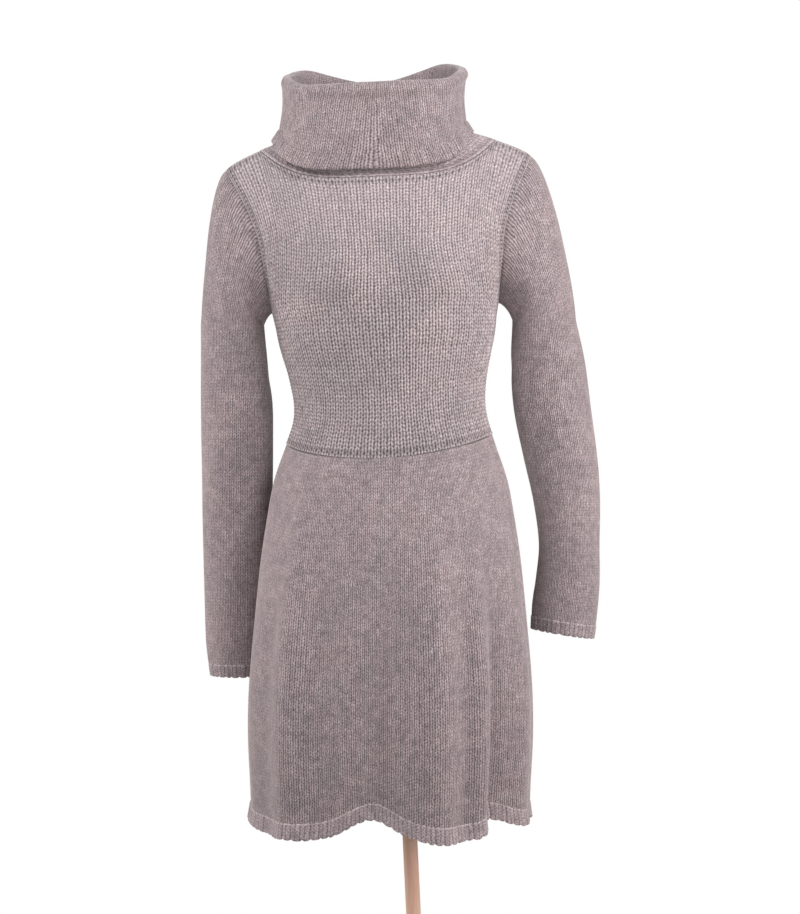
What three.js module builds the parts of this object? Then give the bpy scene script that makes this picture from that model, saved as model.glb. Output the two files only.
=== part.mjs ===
// A knitted sweater dress with a turned-down collar, worn by a limbless dress form on a wooden stand.
// Sizes are in millimetres. +X is the wearer's left, -Y the front and +Z up, from the middle of the base's underside.
// Headings round the body are in degrees from the front: 0 is the front, 90 the wearer's left and 180 the back.
import * as THREE from "three";

// Cloth
const WALL = 2.2; // plain knit
const SEAM = 0.4; // space between two pieces at a seam
const BODICE_RIBS = 48; // raised wales on each bodice panel
const BODICE_RIB = 1.3; // how far they stand out
const HEM_RIBS = 108;
const CUFF_RIBS = 22;
const COLLAR_RIBS = 54;
const BAND_RIB = 1.1;

// Heights of the dress, measured up the stand
const ARMPIT_Z = 1173;
const SHOULDER_TIP_Z = 1350;
const NECK_POINT = { x: 148, z: 1371 }; // where the shoulder seam meets the neckline
const NECKLINE = { front: 1330, back: 1377 };
const COLLAR_SEAM = { x: 107, front: 1347, side: 1385, back: 1389 };
const NECKLINE_FULLNESS = 3; // exponent of its rise from the middle to the shoulders
const NECK_POINT_SHARE = 0.8; // of half a panel's wales, those that end on the neckline
const WAIST_SEAM_Z = 1007; // at the sides, and it dips at the front and back
const HEM_Z = 528; // lowest point of the hem
const HEM_BAND = 20;
const CUFF = 17;

// Stand
const LEAN = 0.0465; // the pole leans this much towards -X in its socket
const LEAN_FROM_Z = 45; // the middle of the socket
const HANG_Z = 973; // below this the skirt hangs straight down
const BASE = { radius: 180, height: 22, chamfer: 5 };
const SOCKET = { radius: 24, bore: 11.4, height: 45 };
const POLE = { radius: 9.2, sides: 24 };
const FORM_BOTTOM_Z = 836;

// Inside of the dress: half its width, and how far it reaches forwards and backwards
const FIGURE = [
  { z: 500, halfWidth: 171.5, front: 147, back: 147 },
  { z: 580, halfWidth: 174.5, front: 148, back: 149 },
  { z: 640, halfWidth: 177, front: 146, back: 149 },
  { z: 700, halfWidth: 175.5, front: 142, back: 146 },
  { z: 780, halfWidth: 168.5, front: 134, back: 140 },
  { z: 856, halfWidth: 160.5, front: 125, back: 132 },
  { z: 906, halfWidth: 153, front: 117, back: 124 },
  { z: 956, halfWidth: 143.5, front: 107, back: 113 },
  { z: 1000, halfWidth: 128.5, front: 96, back: 97 },
  { z: 1031, halfWidth: 118.5, front: 89, back: 87 },
  { z: 1056, halfWidth: 116.5, front: 87, back: 82 },
  { z: 1090, halfWidth: 121.5, front: 91, back: 81 },
  { z: 1131, halfWidth: 131.5, front: 101, back: 86 },
  { z: 1173, halfWidth: 139, front: 112, back: 92 },
  { z: 1206, halfWidth: 148, front: 115, back: 96 },
  { z: 1240, halfWidth: 160, front: 111, back: 97 },
  { z: 1280, halfWidth: 174, front: 101, back: 94 },
  { z: 1320, halfWidth: 186, front: 87, back: 88 },
  { z: 1350, halfWidth: 189, front: 77, back: 82 },
  { z: 1371, halfWidth: 148, front: 70, back: 77 },
  { z: 1385, halfWidth: 107, front: 65, back: 71 },
  { z: 1394, halfWidth: 82, front: 61, back: 65 },
  { z: 1404, halfWidth: 63, front: 58, back: 58 },
  { z: 1418, halfWidth: 56, front: 54, back: 54 },
];
const BUST = { x: 64, z: 1212, rise: 9, spread: 40 };

// Half the width between the armhole seams
const ARMHOLE = [
  { z: 1173, halfWidth: 139 },
  { z: 1200, halfWidth: 141 },
  { z: 1228, halfWidth: 145 },
  { z: 1258, halfWidth: 149.5 },
  { z: 1290, halfWidth: 160 },
  { z: 1325, halfWidth: 176 },
  { z: 1350, halfWidth: 189 },
];
const ARMHOLE_STEPS = [0, 0.18, 0.38, 0.58, 0.76, 0.88, 0.95, 0.985, 1]; // shares of the way up from the armpit
const ARMPIT_LIFT = 1; // the sleeve's lowest point above the panels' corner
const LONG_STEP = 18; // longer ones are halved round the top of a sleeve

// Soft folds of the skirt at its hem: how far in, how wide in degrees, and how far they lift the hem
const SKIRT_FOLDS = [
  { heading: -8, depth: 15, spread: 14, lift: 26 },
  { heading: 50, depth: 15, spread: 11, lift: 20 },
  { heading: 80, depth: 3, spread: 14, lift: 13 },
  { heading: 115, depth: 9, spread: 13, lift: 8 },
  { heading: 158, depth: 13, spread: 16, lift: 16 },
  { heading: 209, depth: 12, spread: 15, lift: 14 },
  { heading: 248, depth: 8, spread: 12, lift: 8 },
  { heading: 274, depth: 1, spread: 22, lift: 9 },
];
const FOLDS_START_Z = 960;
const SKIRT_STEP = 5; // degrees from one column of points to the next

// How strongly a sleeve's cap springs from the armhole, at its top and more at the armpit, and drops into the tube
const CAP_SPRING = { top: 0.37, armpit: 1.1, drop: 0.72 };

// Outside of each sleeve below the armpit: its middle, half its width and depth, and its sideways slope
const SLEEVE_LEFT = [
  { z: 1156, x: 146, y: 3, halfWidth: 40.2, halfDepth: 40, slope: 0 },
  { z: 1105, x: 151, y: 7, halfWidth: 46.7, halfDepth: 40, slope: 0 },
  { z: 1045, x: 157.5, y: 12, halfWidth: 48.7, halfDepth: 39, slope: 0 },
  { z: 985, x: 168, y: 17, halfWidth: 46.7, halfDepth: 38, slope: 0 },
  { z: 930, x: 176, y: 21, halfWidth: 42.2, halfDepth: 36, slope: 0 },
  { z: 875, x: 179.5, y: 25, halfWidth: 38.4, halfDepth: 34, slope: -0.02 },
  { z: 830, x: 178, y: 28, halfWidth: 40.4, halfDepth: 32, slope: -0.07 },
  { z: 796, x: 174.5, y: 30, halfWidth: 41.4, halfDepth: 31, slope: -0.13 },
  { z: 762, x: 171.5, y: 31, halfWidth: 39.9, halfDepth: 30, slope: -0.16 },
];
const SLEEVE_RIGHT = [
  { z: 1150, x: -243.3, y: 3, halfWidth: 40, halfDepth: 40, slope: 0 },
  { z: 1100, x: -241.3, y: 9, halfWidth: 42.5, halfDepth: 41, slope: 0 },
  { z: 1050, x: -239.3, y: 16, halfWidth: 45.3, halfDepth: 40, slope: 0 },
  { z: 1000, x: -239.8, y: 28, halfWidth: 45.5, halfDepth: 39, slope: 0 },
  { z: 940, x: -240.8, y: 44, halfWidth: 45, halfDepth: 38, slope: 0 },
  { z: 870, x: -241.8, y: 58, halfWidth: 43.8, halfDepth: 36, slope: 0 },
  { z: 800, x: -242.3, y: 67, halfWidth: 42.3, halfDepth: 34, slope: 0 },
  { z: 745, x: -242.1, y: 72, halfWidth: 41, halfDepth: 33, slope: 0 },
  { z: 704, x: -241.3, y: 76, halfWidth: 36.8, halfDepth: 31, slope: 0 },
];

// The collar from its seam, up inside, over the fold and down outside: the middle of its wall.
// share runs from the seam, or from the lower edge outside, up to the fold, and above is added to the height there.
const COLLAR_PATH = [
  { outside: false, share: 0.3, above: 0, halfWidth: 103, front: 83, back: 80 },
  { outside: false, share: 0.65, above: 0, halfWidth: 102, front: 89, back: 86 },
  { outside: false, share: 1, above: -9, halfWidth: 101.5, front: 91, back: 88 },
  { outside: false, share: 1, above: -2.5, halfWidth: 104, front: 93.5, back: 90.5 },
  { outside: false, share: 1, above: 0, halfWidth: 108.5, front: 97.5, back: 94.5 },
  { outside: true, share: 1, above: -2.5, halfWidth: 113, front: 101.5, back: 98.5 },
  { outside: true, share: 1, above: -9, halfWidth: 115.3, front: 103.5, back: 100.5 },
  { outside: true, share: 0.66, above: 0, halfWidth: 114.5, front: 101, back: 101 },
  { outside: true, share: 0.36, above: 0, halfWidth: 114, front: 98.5, back: 100.5 },
  { outside: true, share: 0.17, above: 0, halfWidth: 119, front: 98, back: 101 },
];
const COLLAR_EDGE = { halfWidth: 124.5, front: 98, back: 102 }; // the rib's lower edge
const COLLAR_FLARE = 0.35; // its outward slope there
const COLLAR_SWAY = -6; // the lower edge hangs this much to the side of the rim
const COLLAR_RIM = [
  { heading: 0, z: 1436 },
  { heading: 30, z: 1437.5 },
  { heading: 50, z: 1442 },
  { heading: 68, z: 1453 },
  { heading: 90, z: 1467 },
  { heading: 112, z: 1478 },
  { heading: 132, z: 1484 },
  { heading: 150, z: 1480 },
  { heading: 180, z: 1467 },
];
const COLLAR_DROP = [
  { heading: 0, z: 1332 },
  { heading: 20, z: 1336 },
  { heading: 40, z: 1347 },
  { heading: 60, z: 1371 },
  { heading: 75, z: 1386 },
  { heading: 90, z: 1391 },
  { heading: 120, z: 1390 },
  { heading: 150, z: 1378 },
  { heading: 180, z: 1372 },
];
const COLLAR_START = { share: 0.85, clear: 0.6 }; // place across the neck band, and space above the band
const COLLAR_FULLNESS = 2.5; // exponent of its plan, 2 for an ellipse

// How far the form stays inside the dress
const FORM_INSET = [
  { z: 836, inset: 62 },
  { z: 848, inset: 40 },
  { z: 880, inset: 20 },
  { z: 930, inset: 10 },
  { z: 1000, inset: 6 },
  { z: 1173, inset: 6 },
  { z: 1300, inset: 6.5 },
  { z: 1335, inset: 6.5 },
  { z: 1350, inset: 5 },
  { z: 1371, inset: 4 },
  { z: 1418, inset: 3 },
];

const knit = new THREE.MeshStandardMaterial({ color: 0x9a8c90, roughness: 0.95, metalness: 0 });
const ribbedKnit = new THREE.MeshStandardMaterial({ color: 0xa6989c, roughness: 0.95, metalness: 0 });
const formCloth = new THREE.MeshStandardMaterial({ color: 0xe4ded4, roughness: 0.9, metalness: 0 });
const wood = new THREE.MeshStandardMaterial({ color: 0xa8846c, roughness: 0.6, metalness: 0 });

const dressOnForm = new THREE.Group();

const radians = THREE.MathUtils.degToRad;
const mix = THREE.MathUtils.lerp;
const clamp = THREE.MathUtils.clamp;
const smooth = THREE.MathUtils.smoothstep;

// Reads a column of a table at a place between its rows, on a smooth curve through them.
function read(table, column, place, key = "z") {
  const rows = table[0][key] < table[table.length - 1][key] ? table : [...table].reverse();
  const last = rows.length - 1;
  const at = clamp(place, rows[0][key], rows[last][key]);
  let i = 0;
  while (i < last - 1 && at > rows[i + 1][key]) i += 1;
  const slope = (k) => {
    const [before, after] = [rows[Math.max(k - 1, 0)], rows[Math.min(k + 1, last)]];
    return (after[column] - before[column]) / (after[key] - before[key]);
  };
  const span = rows[i + 1][key] - rows[i][key];
  const u = (at - rows[i][key]) / span;
  const [u2, u3] = [u * u, u * u * u];
  return (
    (2 * u3 - 3 * u2 + 1) * rows[i][column] +
    (u3 - 2 * u2 + u) * span * slope(i) +
    (3 * u2 - 2 * u3) * rows[i + 1][column] +
    (u3 - u2) * span * slope(i + 1)
  );
}

const steps = (count, from = 0, to = 1) =>
  Array.from({ length: count + 1 }, (_, i) => mix(from, to, i / count));

// A heading from -180 to 180, from its distance to another one.
const turnFrom = (heading, other) => THREE.MathUtils.euclideanModulo(heading - other + 180, 360) - 180;

// Leans a point of the form and of the dress's upper part, and lets the skirt hang straight below the hips.
function leaned(point, hangs) {
  const height = point.z - LEAN_FROM_Z;
  const hipHeight = HANG_Z - LEAN_FROM_Z;
  let shift = height;
  let turn = 1;
  if (hangs && point.z < HANG_Z + 100) {
    const above = clamp(point.z - HANG_Z, 0, 100);
    shift = hipHeight + 50 + (above * above) / 200;
    turn = smooth(above, 0, 100);
  }
  return new THREE.Vector3(point.x - LEAN * shift, point.y, point.z + LEAN * turn * point.x);
}
const leanedDress = (point) => leaned(point, true);
const leanedForm = (point) => leaned(point, false);

// How much the bust adds to the front of the figure.
function bustAt(x, z) {
  const across = (Math.abs(x) - BUST.x) / BUST.spread;
  const up = (z - BUST.z) / BUST.spread;
  return BUST.rise * Math.exp(-(across * across + up * up));
}

// The point of the figure at a height, on the front (facing 1) or the back (facing -1), inset mm inside it.
function figurePoint(x, z, facing, inset = 0) {
  const halfWidth = read(FIGURE, "halfWidth", z) - inset;
  const reach = read(FIGURE, facing > 0 ? "front" : "back", z) - inset;
  const across = clamp(x / halfWidth, -1, 1);
  const bust = facing > 0 ? bustAt(x, z) : 0;
  const depth = (reach + bust) * Math.sqrt(1 - across * across);
  return new THREE.Vector3(across * halfWidth, -facing * depth, z);
}

// The outward direction of the figure at a point on it.
function figureNormal({ x, y, z }, facing) {
  const level = (dx, dy, dz) => {
    const bust = facing > 0 ? bustAt(x + dx, z + dz) : 0;
    const reach = read(FIGURE, facing > 0 ? "front" : "back", z + dz) + bust;
    return ((x + dx) / read(FIGURE, "halfWidth", z + dz)) ** 2 + ((y + dy) / reach) ** 2;
  };
  const e = 0.5;
  return new THREE.Vector3(
    level(e, 0, 0) - level(-e, 0, 0),
    level(0, e, 0) - level(0, -e, 0),
    level(0, 0, e) - level(0, 0, -e),
  ).normalize();
}

function waistSeamZ(heading) {
  const side = Math.sin(radians(heading));
  const forward = Math.abs(Math.cos(radians(heading)));
  return WAIST_SEAM_Z + 4 * side - 23 * forward ** 1.5 + 5 * side * forward;
}

// Closed walls

// Zips two edges with different numbers of points together.
function zip(faces, first, second, flip) {
  let [i, j] = [0, 0];
  while (i < first.length - 1 || j < second.length - 1) {
    const nextFirst = (i + 1) / (first.length - 1);
    const nextSecond = (j + 1) / (second.length - 1);
    const stepFirst = j === second.length - 1 || (i < first.length - 1 && nextFirst <= nextSecond);
    const face = stepFirst ? [first[i + 1], first[i], second[j]] : [first[i], second[j], second[j + 1]];
    faces.push(flip ? face.reverse() : face);
    if (stepFirst) i += 1;
    else j += 1;
  }
}

function solidMesh(name, material, points, faces) {
  let volume = 0;
  for (const [a, b, c] of faces) volume += points[a].dot(points[b].clone().cross(points[c]));
  if (volume < 0) faces.forEach((face) => face.reverse());
  const geometry = new THREE.BufferGeometry();
  geometry.setAttribute("position", new THREE.Float32BufferAttribute(points.flatMap((p) => p.toArray()), 3));
  geometry.setIndex(faces.flat());
  geometry.computeVertexNormals();
  const mesh = new THREE.Mesh(geometry, material);
  mesh.name = name;
  dressOnForm.add(mesh);
  return mesh;
}

// A wall between an inner and an outer grid of points with equal numbers of rows. A tube closes on itself.
function wall(name, material, inner, outer, tube) {
  const points = [];
  const numbered = (grid) =>
    grid.map((row) => {
      const numbers = row.map((point) => points.push(point) - 1);
      return tube ? [...numbers, numbers[0]] : numbers;
    });
  const [ins, outs] = [numbered(inner), numbered(outer)];
  const faces = [];
  const lastRow = outs.length - 1;
  for (const [grid, flip] of [[outs, false], [ins, true]]) {
    for (let r = 0; r < lastRow; r += 1) {
      for (let c = 0; c < grid[r].length - 1; c += 1) {
        const [a, b, d, e] = [grid[r][c], grid[r][c + 1], grid[r + 1][c + 1], grid[r + 1][c]];
        const pair = [[a, b, d], [a, d, e]];
        faces.push(...(flip ? pair.map((face) => face.reverse()) : pair));
      }
    }
  }
  zip(faces, outs[0], ins[0], false);
  zip(faces, outs[lastRow], ins[lastRow], true);
  if (!tube) {
    const column = (grid, c) => grid.map((row) => row.at(c));
    zip(faces, column(outs, 0), column(ins, 0), true);
    zip(faces, column(outs, -1), column(ins, -1), false);
  }
  return solidMesh(name, material, points, faces);
}

// Bodice

// A neckline's height at a share of its half width, from its middle and end heights.
const necklineZ = (middle, end, aside) => mix(middle, end, Math.abs(aside) ** NECKLINE_FULLNESS);

// A bodice panel's surface. across runs from -1 to 1 between its side edges, along from -1 at the waist seam
// through 0 at the armpit to 1 at the neckline and shoulder seams.
function bodiceSurface(facing) {
  const neckline = facing > 0 ? NECKLINE.front : NECKLINE.back;
  const topZ = (share) =>
    share <= NECK_POINT_SHARE
      ? necklineZ(neckline, NECK_POINT.z, Math.sin(radians(90 * share) / NECK_POINT_SHARE))
      : mix(NECK_POINT.z, SHOULDER_TIP_Z, (share - NECK_POINT_SHARE) / (1 - NECK_POINT_SHARE));
  const topX = (share) =>
    share <= NECK_POINT_SHARE
      ? NECK_POINT.x * Math.sin(radians(90 * share) / NECK_POINT_SHARE)
      : read(FIGURE, "halfWidth", topZ(share));
  return (across, along) => {
    const side = Math.sign(across);
    const share = Math.abs(across);
    if (along <= 0) {
      const heading = facing > 0 ? 90 * across : 180 - 90 * across;
      const z = mix(waistSeamZ(heading), ARMPIT_Z, 1 + along);
      return figurePoint(read(FIGURE, "halfWidth", z) * Math.sin(radians(90 * across)), z, facing);
    }
    const edgeZ = mix(ARMPIT_Z, SHOULDER_TIP_Z, along);
    const wrap = radians(mix(90, 62, smooth(along, 0, 0.3)));
    const even = Math.sin(share * wrap) / Math.sin(wrap);
    const edge = read(ARMHOLE, "halfWidth", edgeZ);
    const spread = mix(even, topX(share) / topX(1), smooth(along, 0.25, 1) * smooth(along, 0, 1));
    const z = mix(ARMPIT_Z, topZ(share), along);
    return figurePoint(side * edge * spread, z, facing);
  };
}

function bodicePanel(name, facing) {
  const surface = bodiceSurface(facing);
  const alongs = [...steps(4, -1, 0).slice(0, -1), ...ARMHOLE_STEPS];
  // The edges stop half a seam short of the waist, the sides and the shoulders.
  alongs[0] += SEAM / 2 / (ARMPIT_Z - WAIST_SEAM_Z);
  const sideTrim = 1 - SEAM / 2 / 130;
  const grid = (columns, thickness) =>
    alongs.map((along) =>
      steps(columns, -1, 1).map((across, column) => {
        const share = across * sideTrim;
        const point = surface(share, along);
        point.addScaledVector(figureNormal(point, facing), thickness(column));
        if (along === 1) point.y -= (facing * SEAM) / 2;
        return leanedDress(point);
      }),
    );
  const inner = grid(16, () => 0);
  const outer = grid(2 * BODICE_RIBS, (column) => WALL - 0.2 + (column % 2) * BODICE_RIB);
  wall(name, ribbedKnit, inner, outer, false);
  return { inner, outer };
}

// Skirt

function foldsAt(heading, column) {
  return SKIRT_FOLDS.reduce((sum, fold) => {
    const away = turnFrom(heading, fold.heading) / fold.spread;
    return sum + fold[column] * Math.exp(-away * away);
  }, 0);
}

// The skirt's inside at a heading and height. flare widens it, as at the hem band's edge.
function skirtPoint(heading, z, flare = 0) {
  const angle = radians(heading);
  const forward = Math.cos(angle) > 0;
  const fade = clamp((FOLDS_START_Z - z) / (FOLDS_START_Z - HEM_Z), 0, 1) ** 1.4;
  const change = flare - foldsAt(heading, "depth") * fade;
  const halfWidth = read(FIGURE, "halfWidth", z) + change;
  const reach = read(FIGURE, forward ? "front" : "back", z) + change;
  return new THREE.Vector3(halfWidth * Math.sin(angle), -reach * Math.cos(angle), z);
}

// The seam above the hem band, straight from one of the skirt's columns to the next.
function bandTopZ(heading) {
  const column = Math.floor(heading / SKIRT_STEP);
  const seamZ = (k) => HEM_Z + HEM_BAND + foldsAt(k * SKIRT_STEP, "lift");
  return mix(seamZ(column), seamZ(column + 1), heading / SKIRT_STEP - column);
}

function skirtPanel(name, from, to) {
  const columns = (to - from) / SKIRT_STEP;
  const rows = 7;
  const top = (heading) => waistSeamZ(heading) - SEAM / 2;
  const bottom = (heading) => bandTopZ(heading) + 1.5 * SEAM;
  const trim = (SEAM / 2 / 150) * (180 / Math.PI);
  const headings = steps(columns, from, to);
  headings[0] += trim;
  headings[columns] -= trim;
  const surface = (heading, share) => skirtPoint(heading, mix(top(heading), bottom(heading), share));
  const grid = (thickness) =>
    steps(rows).map((share) =>
      headings.map((heading) => {
        const a = surface(heading + 0.1, share).sub(surface(heading - 0.1, share));
        const b = surface(heading, Math.min(share + 1e-3, 1)).sub(surface(heading, Math.max(share - 1e-3, 0)));
        const out = b.cross(a).normalize().multiplyScalar(thickness);
        return leanedDress(surface(heading, share).add(out));
      }),
    );
  wall(name, knit, grid(0), grid(WALL), false);
}

// A ribbed band round a loop: inner and outer give the point at a share of the loop and a row.
function ribbedBand(name, material, ribs, innerColumns, rows, place) {
  const around = (count) => Array.from({ length: count }, (_, i) => i / count);
  const inner = rows.map((row) => around(innerColumns).map((turn) => place(turn, row, 0)));
  const outer = rows.map((row) =>
    around(2 * ribs).map((turn, i) => place(turn, row, WALL - 0.3 + (i % 2) * BAND_RIB)),
  );
  wall(name, material, inner, outer, true);
}

function hemBand() {
  ribbedBand("hem_band", ribbedKnit, HEM_RIBS, 360 / SKIRT_STEP, [0, 1], (turn, row, thickness) => {
    const heading = turn * 360 - 90;
    const top = bandTopZ(heading) - SEAM / 2;
    const point = skirtPoint(heading, mix(top, top - HEM_BAND, row), 3.5 * row + thickness);
    return leanedDress(point);
  });
}

// Sleeves

const middleOf = (a, b) => a.clone().lerp(b, 0.5);

// Halves the steps of a loop that are long ones in another loop.
function halveLongSteps(loop, measured) {
  const next = (points, i) => points[(i + 1) % points.length];
  return loop.flatMap((point, i) =>
    measured[i].distanceTo(next(measured, i)) > LONG_STEP ? [point, middleOf(point, next(loop, i))] : [point],
  );
}

// The armhole's edge from both panels, as a loop from the shoulder down the front to the armpit and up the back.
// side is 1 at the wearer's left. Each point is moved off the panel by the seam's width.
function armholeLoop(front, back, side, layer) {
  const first = front[layer].length - ARMHOLE_STEPS.length;
  const edgeOf = (panel) =>
    panel[layer].slice(first).map((row) => {
      const [edge, next] = side > 0 ? [row.at(-1), row.at(-3)] : [row[0], row[2]];
      return edge.clone().add(edge.clone().sub(next).normalize().multiplyScalar(SEAM));
    });
  const [down, up] = [edgeOf(front).reverse(), edgeOf(back)];
  const armpit = middleOf(down.at(-1), up[0]).add(new THREE.Vector3(0, 0, ARMPIT_LIFT));
  return [middleOf(down[0], up.at(-1)), ...down.slice(1, -1), armpit, ...up.slice(1, -1)];
}

// Each point's share of a turn, by its height, with the lowest point at half a turn.
function turnsOf(loop) {
  const heights = loop.map((point) => point.z);
  const [low, high] = [Math.min(...heights), Math.max(...heights)];
  return heights.map((z, i) => {
    const half = Math.acos((2 * (z - low)) / (high - low) - 1) / (2 * Math.PI);
    return i <= heights.indexOf(low) ? half : 1 - half;
  });
}

// The sleeve's inside at a share of a turn from its outer side by way of the front, and at a height.
function sleevePoint(table, side, turn, z, inset) {
  const angle = turn * 2 * Math.PI;
  const out = side * (read(table, "halfWidth", z) - inset) * Math.cos(angle);
  const forward = (read(table, "halfDepth", z) - inset) * Math.sin(angle);
  return new THREE.Vector3(
    read(table, "x", z) + out,
    read(table, "y", z) - forward,
    z + read(table, "slope", z) * out,
  );
}

function sleeve(name, table, side, panels) {
  const armhole = armholeLoop(panels.front, panels.back, side, "inner");
  const loop = halveLongSteps(armhole, armhole);
  const outerLoop = halveLongSteps(armholeLoop(panels.front, panels.back, side, "outer"), armhole);
  const columns = loop.length;
  const turns = turnsOf(loop);
  const [topZ, endZ] = [table[0].z, table.at(-1).z + CUFF + SEAM / 2];
  const ring = (z) => turns.map((turn) => sleevePoint(table, side, turn, z, WALL));
  const first = ring(topZ);
  // The cap: each line leaves the armhole outwards and comes down into the tube.
  const cap = steps(4).slice(1, -1).map((u) =>
    loop.map((start, i) => {
      const height = (1 + Math.cos(turns[i] * 2 * Math.PI)) / 2;
      const end = first[i];
      const span = start.distanceTo(end);
      const spring = mix(CAP_SPRING.top, CAP_SPRING.armpit, (1 - height) ** 2);
      const leave = new THREE.Vector3(side * 0.9, 0, mix(-0.1, -0.55, height));
      leave.multiplyScalar(spring * span);
      const arrive = new THREE.Vector3(side * 0.06, 0, -1).multiplyScalar(CAP_SPRING.drop * span);
      const [u2, u3] = [u * u, u * u * u];
      return start
        .clone()
        .multiplyScalar(2 * u3 - 3 * u2 + 1)
        .addScaledVector(leave, u3 - 2 * u2 + u)
        .addScaledVector(end, 3 * u2 - 2 * u3)
        .addScaledVector(arrive, u3 - u2);
    }),
  );
  const inner = [loop, ...cap, first, ...steps(7, topZ, endZ).slice(1).map(ring)];
  const outer = inner.map((row, r) =>
    row.map((point, c) => {
      if (r === 0) return outerLoop[c];
      const [before, after] = [row.at(c - 1), row[(c + 1) % columns]];
      const [above, below] = [inner[r - 1][c], inner[Math.min(r + 1, inner.length - 1)][c]];
      const out = after.clone().sub(before).cross(below.clone().sub(above)).normalize();
      return point.clone().addScaledVector(out, side * WALL);
    }),
  );
  wall(name, knit, inner, outer, true);
}

function cuff(name, table, side) {
  const bottom = table.at(-1).z;
  ribbedBand(name, ribbedKnit, CUFF_RIBS, 24, [0, 1], (turn, row, thickness) => {
    const z = mix(bottom + CUFF - SEAM / 2, bottom, row);
    return sleevePoint(table, side, turn, z, WALL - thickness);
  });
}

// Neck band and collar

// The band's inside at a heading; share runs from the neckline seam to the collar seam.
function neckPoint(heading, share) {
  const turn = turnFrom(heading, 0);
  const facing = Math.abs(turn) <= 90 ? 1 : -1;
  const aside = Math.sin(radians(turn));
  const seam = facing > 0 ? NECKLINE.front : NECKLINE.back;
  const inner = facing > 0 ? COLLAR_SEAM.front : COLLAR_SEAM.back;
  const z = mix(necklineZ(seam, NECK_POINT.z, aside), necklineZ(inner, COLLAR_SEAM.side, aside), share);
  const x = mix(NECK_POINT.x, COLLAR_SEAM.x, share) * aside;
  return figurePoint(x, z, facing);
}

const neckNormal = (heading, share) =>
  figureNormal(neckPoint(heading, share), Math.abs(turnFrom(heading, 0)) <= 90 ? 1 : -1);

function neckBand() {
  const columns = 60;
  const headings = Array.from({ length: columns }, (_, i) => (i * 360) / columns);
  const edge = (1.5 * SEAM) / 18;
  const grid = (thickness) =>
    [edge, 1].map((share) =>
      headings.map((heading) =>
        leanedDress(neckPoint(heading, share).addScaledVector(neckNormal(heading, share), thickness)),
      ),
    );
  wall("neck_band", knit, grid(0), grid(WALL), true);
}

// A heading's place on a full oval, as a share of its half width and of its reach.
function ovalPlace(heading, { halfWidth, front, back }) {
  const [side, forward] = [Math.sin(radians(heading)), Math.cos(radians(heading))];
  const power = 2 / COLLAR_FULLNESS;
  const x = halfWidth * Math.sign(side) * Math.abs(side) ** power;
  const y = (forward > 0 ? front : back) * Math.sign(forward) * Math.abs(forward) ** power;
  return { x, y: -y };
}

const collarHeight = (table, heading) => read(table, "z", Math.abs(turnFrom(heading, 0)), "heading");

function collarRow(row, heading) {
  const rim = collarHeight(COLLAR_RIM, heading);
  const start = row.outside ? collarHeight(COLLAR_DROP, heading) : neckPoint(heading, 1).z;
  const { x, y } = ovalPlace(heading, row);
  const down = row.outside ? 1 - row.share : 0;
  const z = mix(start, rim, row.share) + (row.above ?? 0);
  return new THREE.Vector3(x + COLLAR_SWAY * down, y, z);
}

function collar() {
  const columns = 36;
  const headings = Array.from({ length: columns }, (_, i) => (i * 360) / columns);
  // It starts on the neck band, just inside its edge, and clears it whichever way the band faces.
  const base = headings.map((heading) => {
    const out = neckNormal(heading, COLLAR_START.share);
    const clear = WALL + COLLAR_START.clear + (WALL / 2) * Math.hypot(out.x, out.y) + 0.7 * out.z;
    return neckPoint(heading, COLLAR_START.share).addScaledVector(out, clear);
  });
  const middle = [base, ...COLLAR_PATH.map((row) => headings.map((heading) => collarRow(row, heading)))];
  const side = (offset) =>
    middle.map((row, r) =>
      row.map((point, c) => {
        const around = row[(c + 1) % columns].clone().sub(row.at(c - 1));
        const along = middle[Math.min(r + 1, middle.length - 1)][c].clone().sub(middle[Math.max(r - 1, 0)][c]);
        const out = along.cross(around).normalize();
        return leanedDress(point.clone().addScaledVector(out, offset));
      }),
    );
  wall("collar", knit, side(-WALL / 2), side(WALL / 2), true);
}

function collarEdge() {
  const last = COLLAR_PATH.at(-1);
  ribbedBand("collar_edge", ribbedKnit, COLLAR_RIBS, 54, [0, 1], (turn, row, thickness) => {
    const heading = turn * 360;
    const size = (column) => mix(last[column], COLLAR_EDGE[column], row) + thickness - WALL / 2;
    const oval = { halfWidth: size("halfWidth"), front: size("front"), back: size("back") };
    const share = mix(last.share, 0, row);
    const point = collarRow({ outside: true, share, ...oval }, heading);
    point.z += COLLAR_FLARE * (thickness - WALL / 2) - 2 * SEAM * (1 - row);
    return leanedDress(point);
  });
}

// Dress form and stand

function torsoForm() {
  const columns = 26;
  const torso = [850, 880, 930, 1000, 1056, 1110, 1173, 1212, 1250, 1290, 1325, 1350];
  const heights = [FORM_BOTTOM_Z, FORM_BOTTOM_Z + 2, ...torso, 1362, 1374, 1387, 1400, 1417];
  const points = [];
  const rows = heights.map((z) => {
    const inset = read(FORM_INSET, "inset", z) + (z === heights[0] ? 8 : 0);
    return Array.from({ length: columns }, (_, i) => {
      const heading = (i * 360) / columns;
      const facing = Math.cos(radians(heading)) >= 0 ? 1 : -1;
      const x = (read(FIGURE, "halfWidth", z) - inset) * Math.sin(radians(heading));
      return points.push(leanedForm(figurePoint(x, z, facing, inset))) - 1;
    });
  });
  const faces = [];
  const middle = (z) => points.push(leanedForm(new THREE.Vector3(0, 0, z))) - 1;
  const [bottom, top] = [middle(heights[0]), middle(heights.at(-1))];
  rows.forEach((row, r) =>
    row.forEach((a, c) => {
      const b = row[(c + 1) % columns];
      if (r === 0) faces.push([bottom, b, a]);
      if (r === rows.length - 1) {
        faces.push([top, a, b]);
        return;
      }
      const [d, e] = [rows[r + 1][(c + 1) % columns], rows[r + 1][c]];
      faces.push([a, b, d], [a, d, e]);
    }),
  );
  solidMesh("torso_form", formCloth, points, faces);
}

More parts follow.
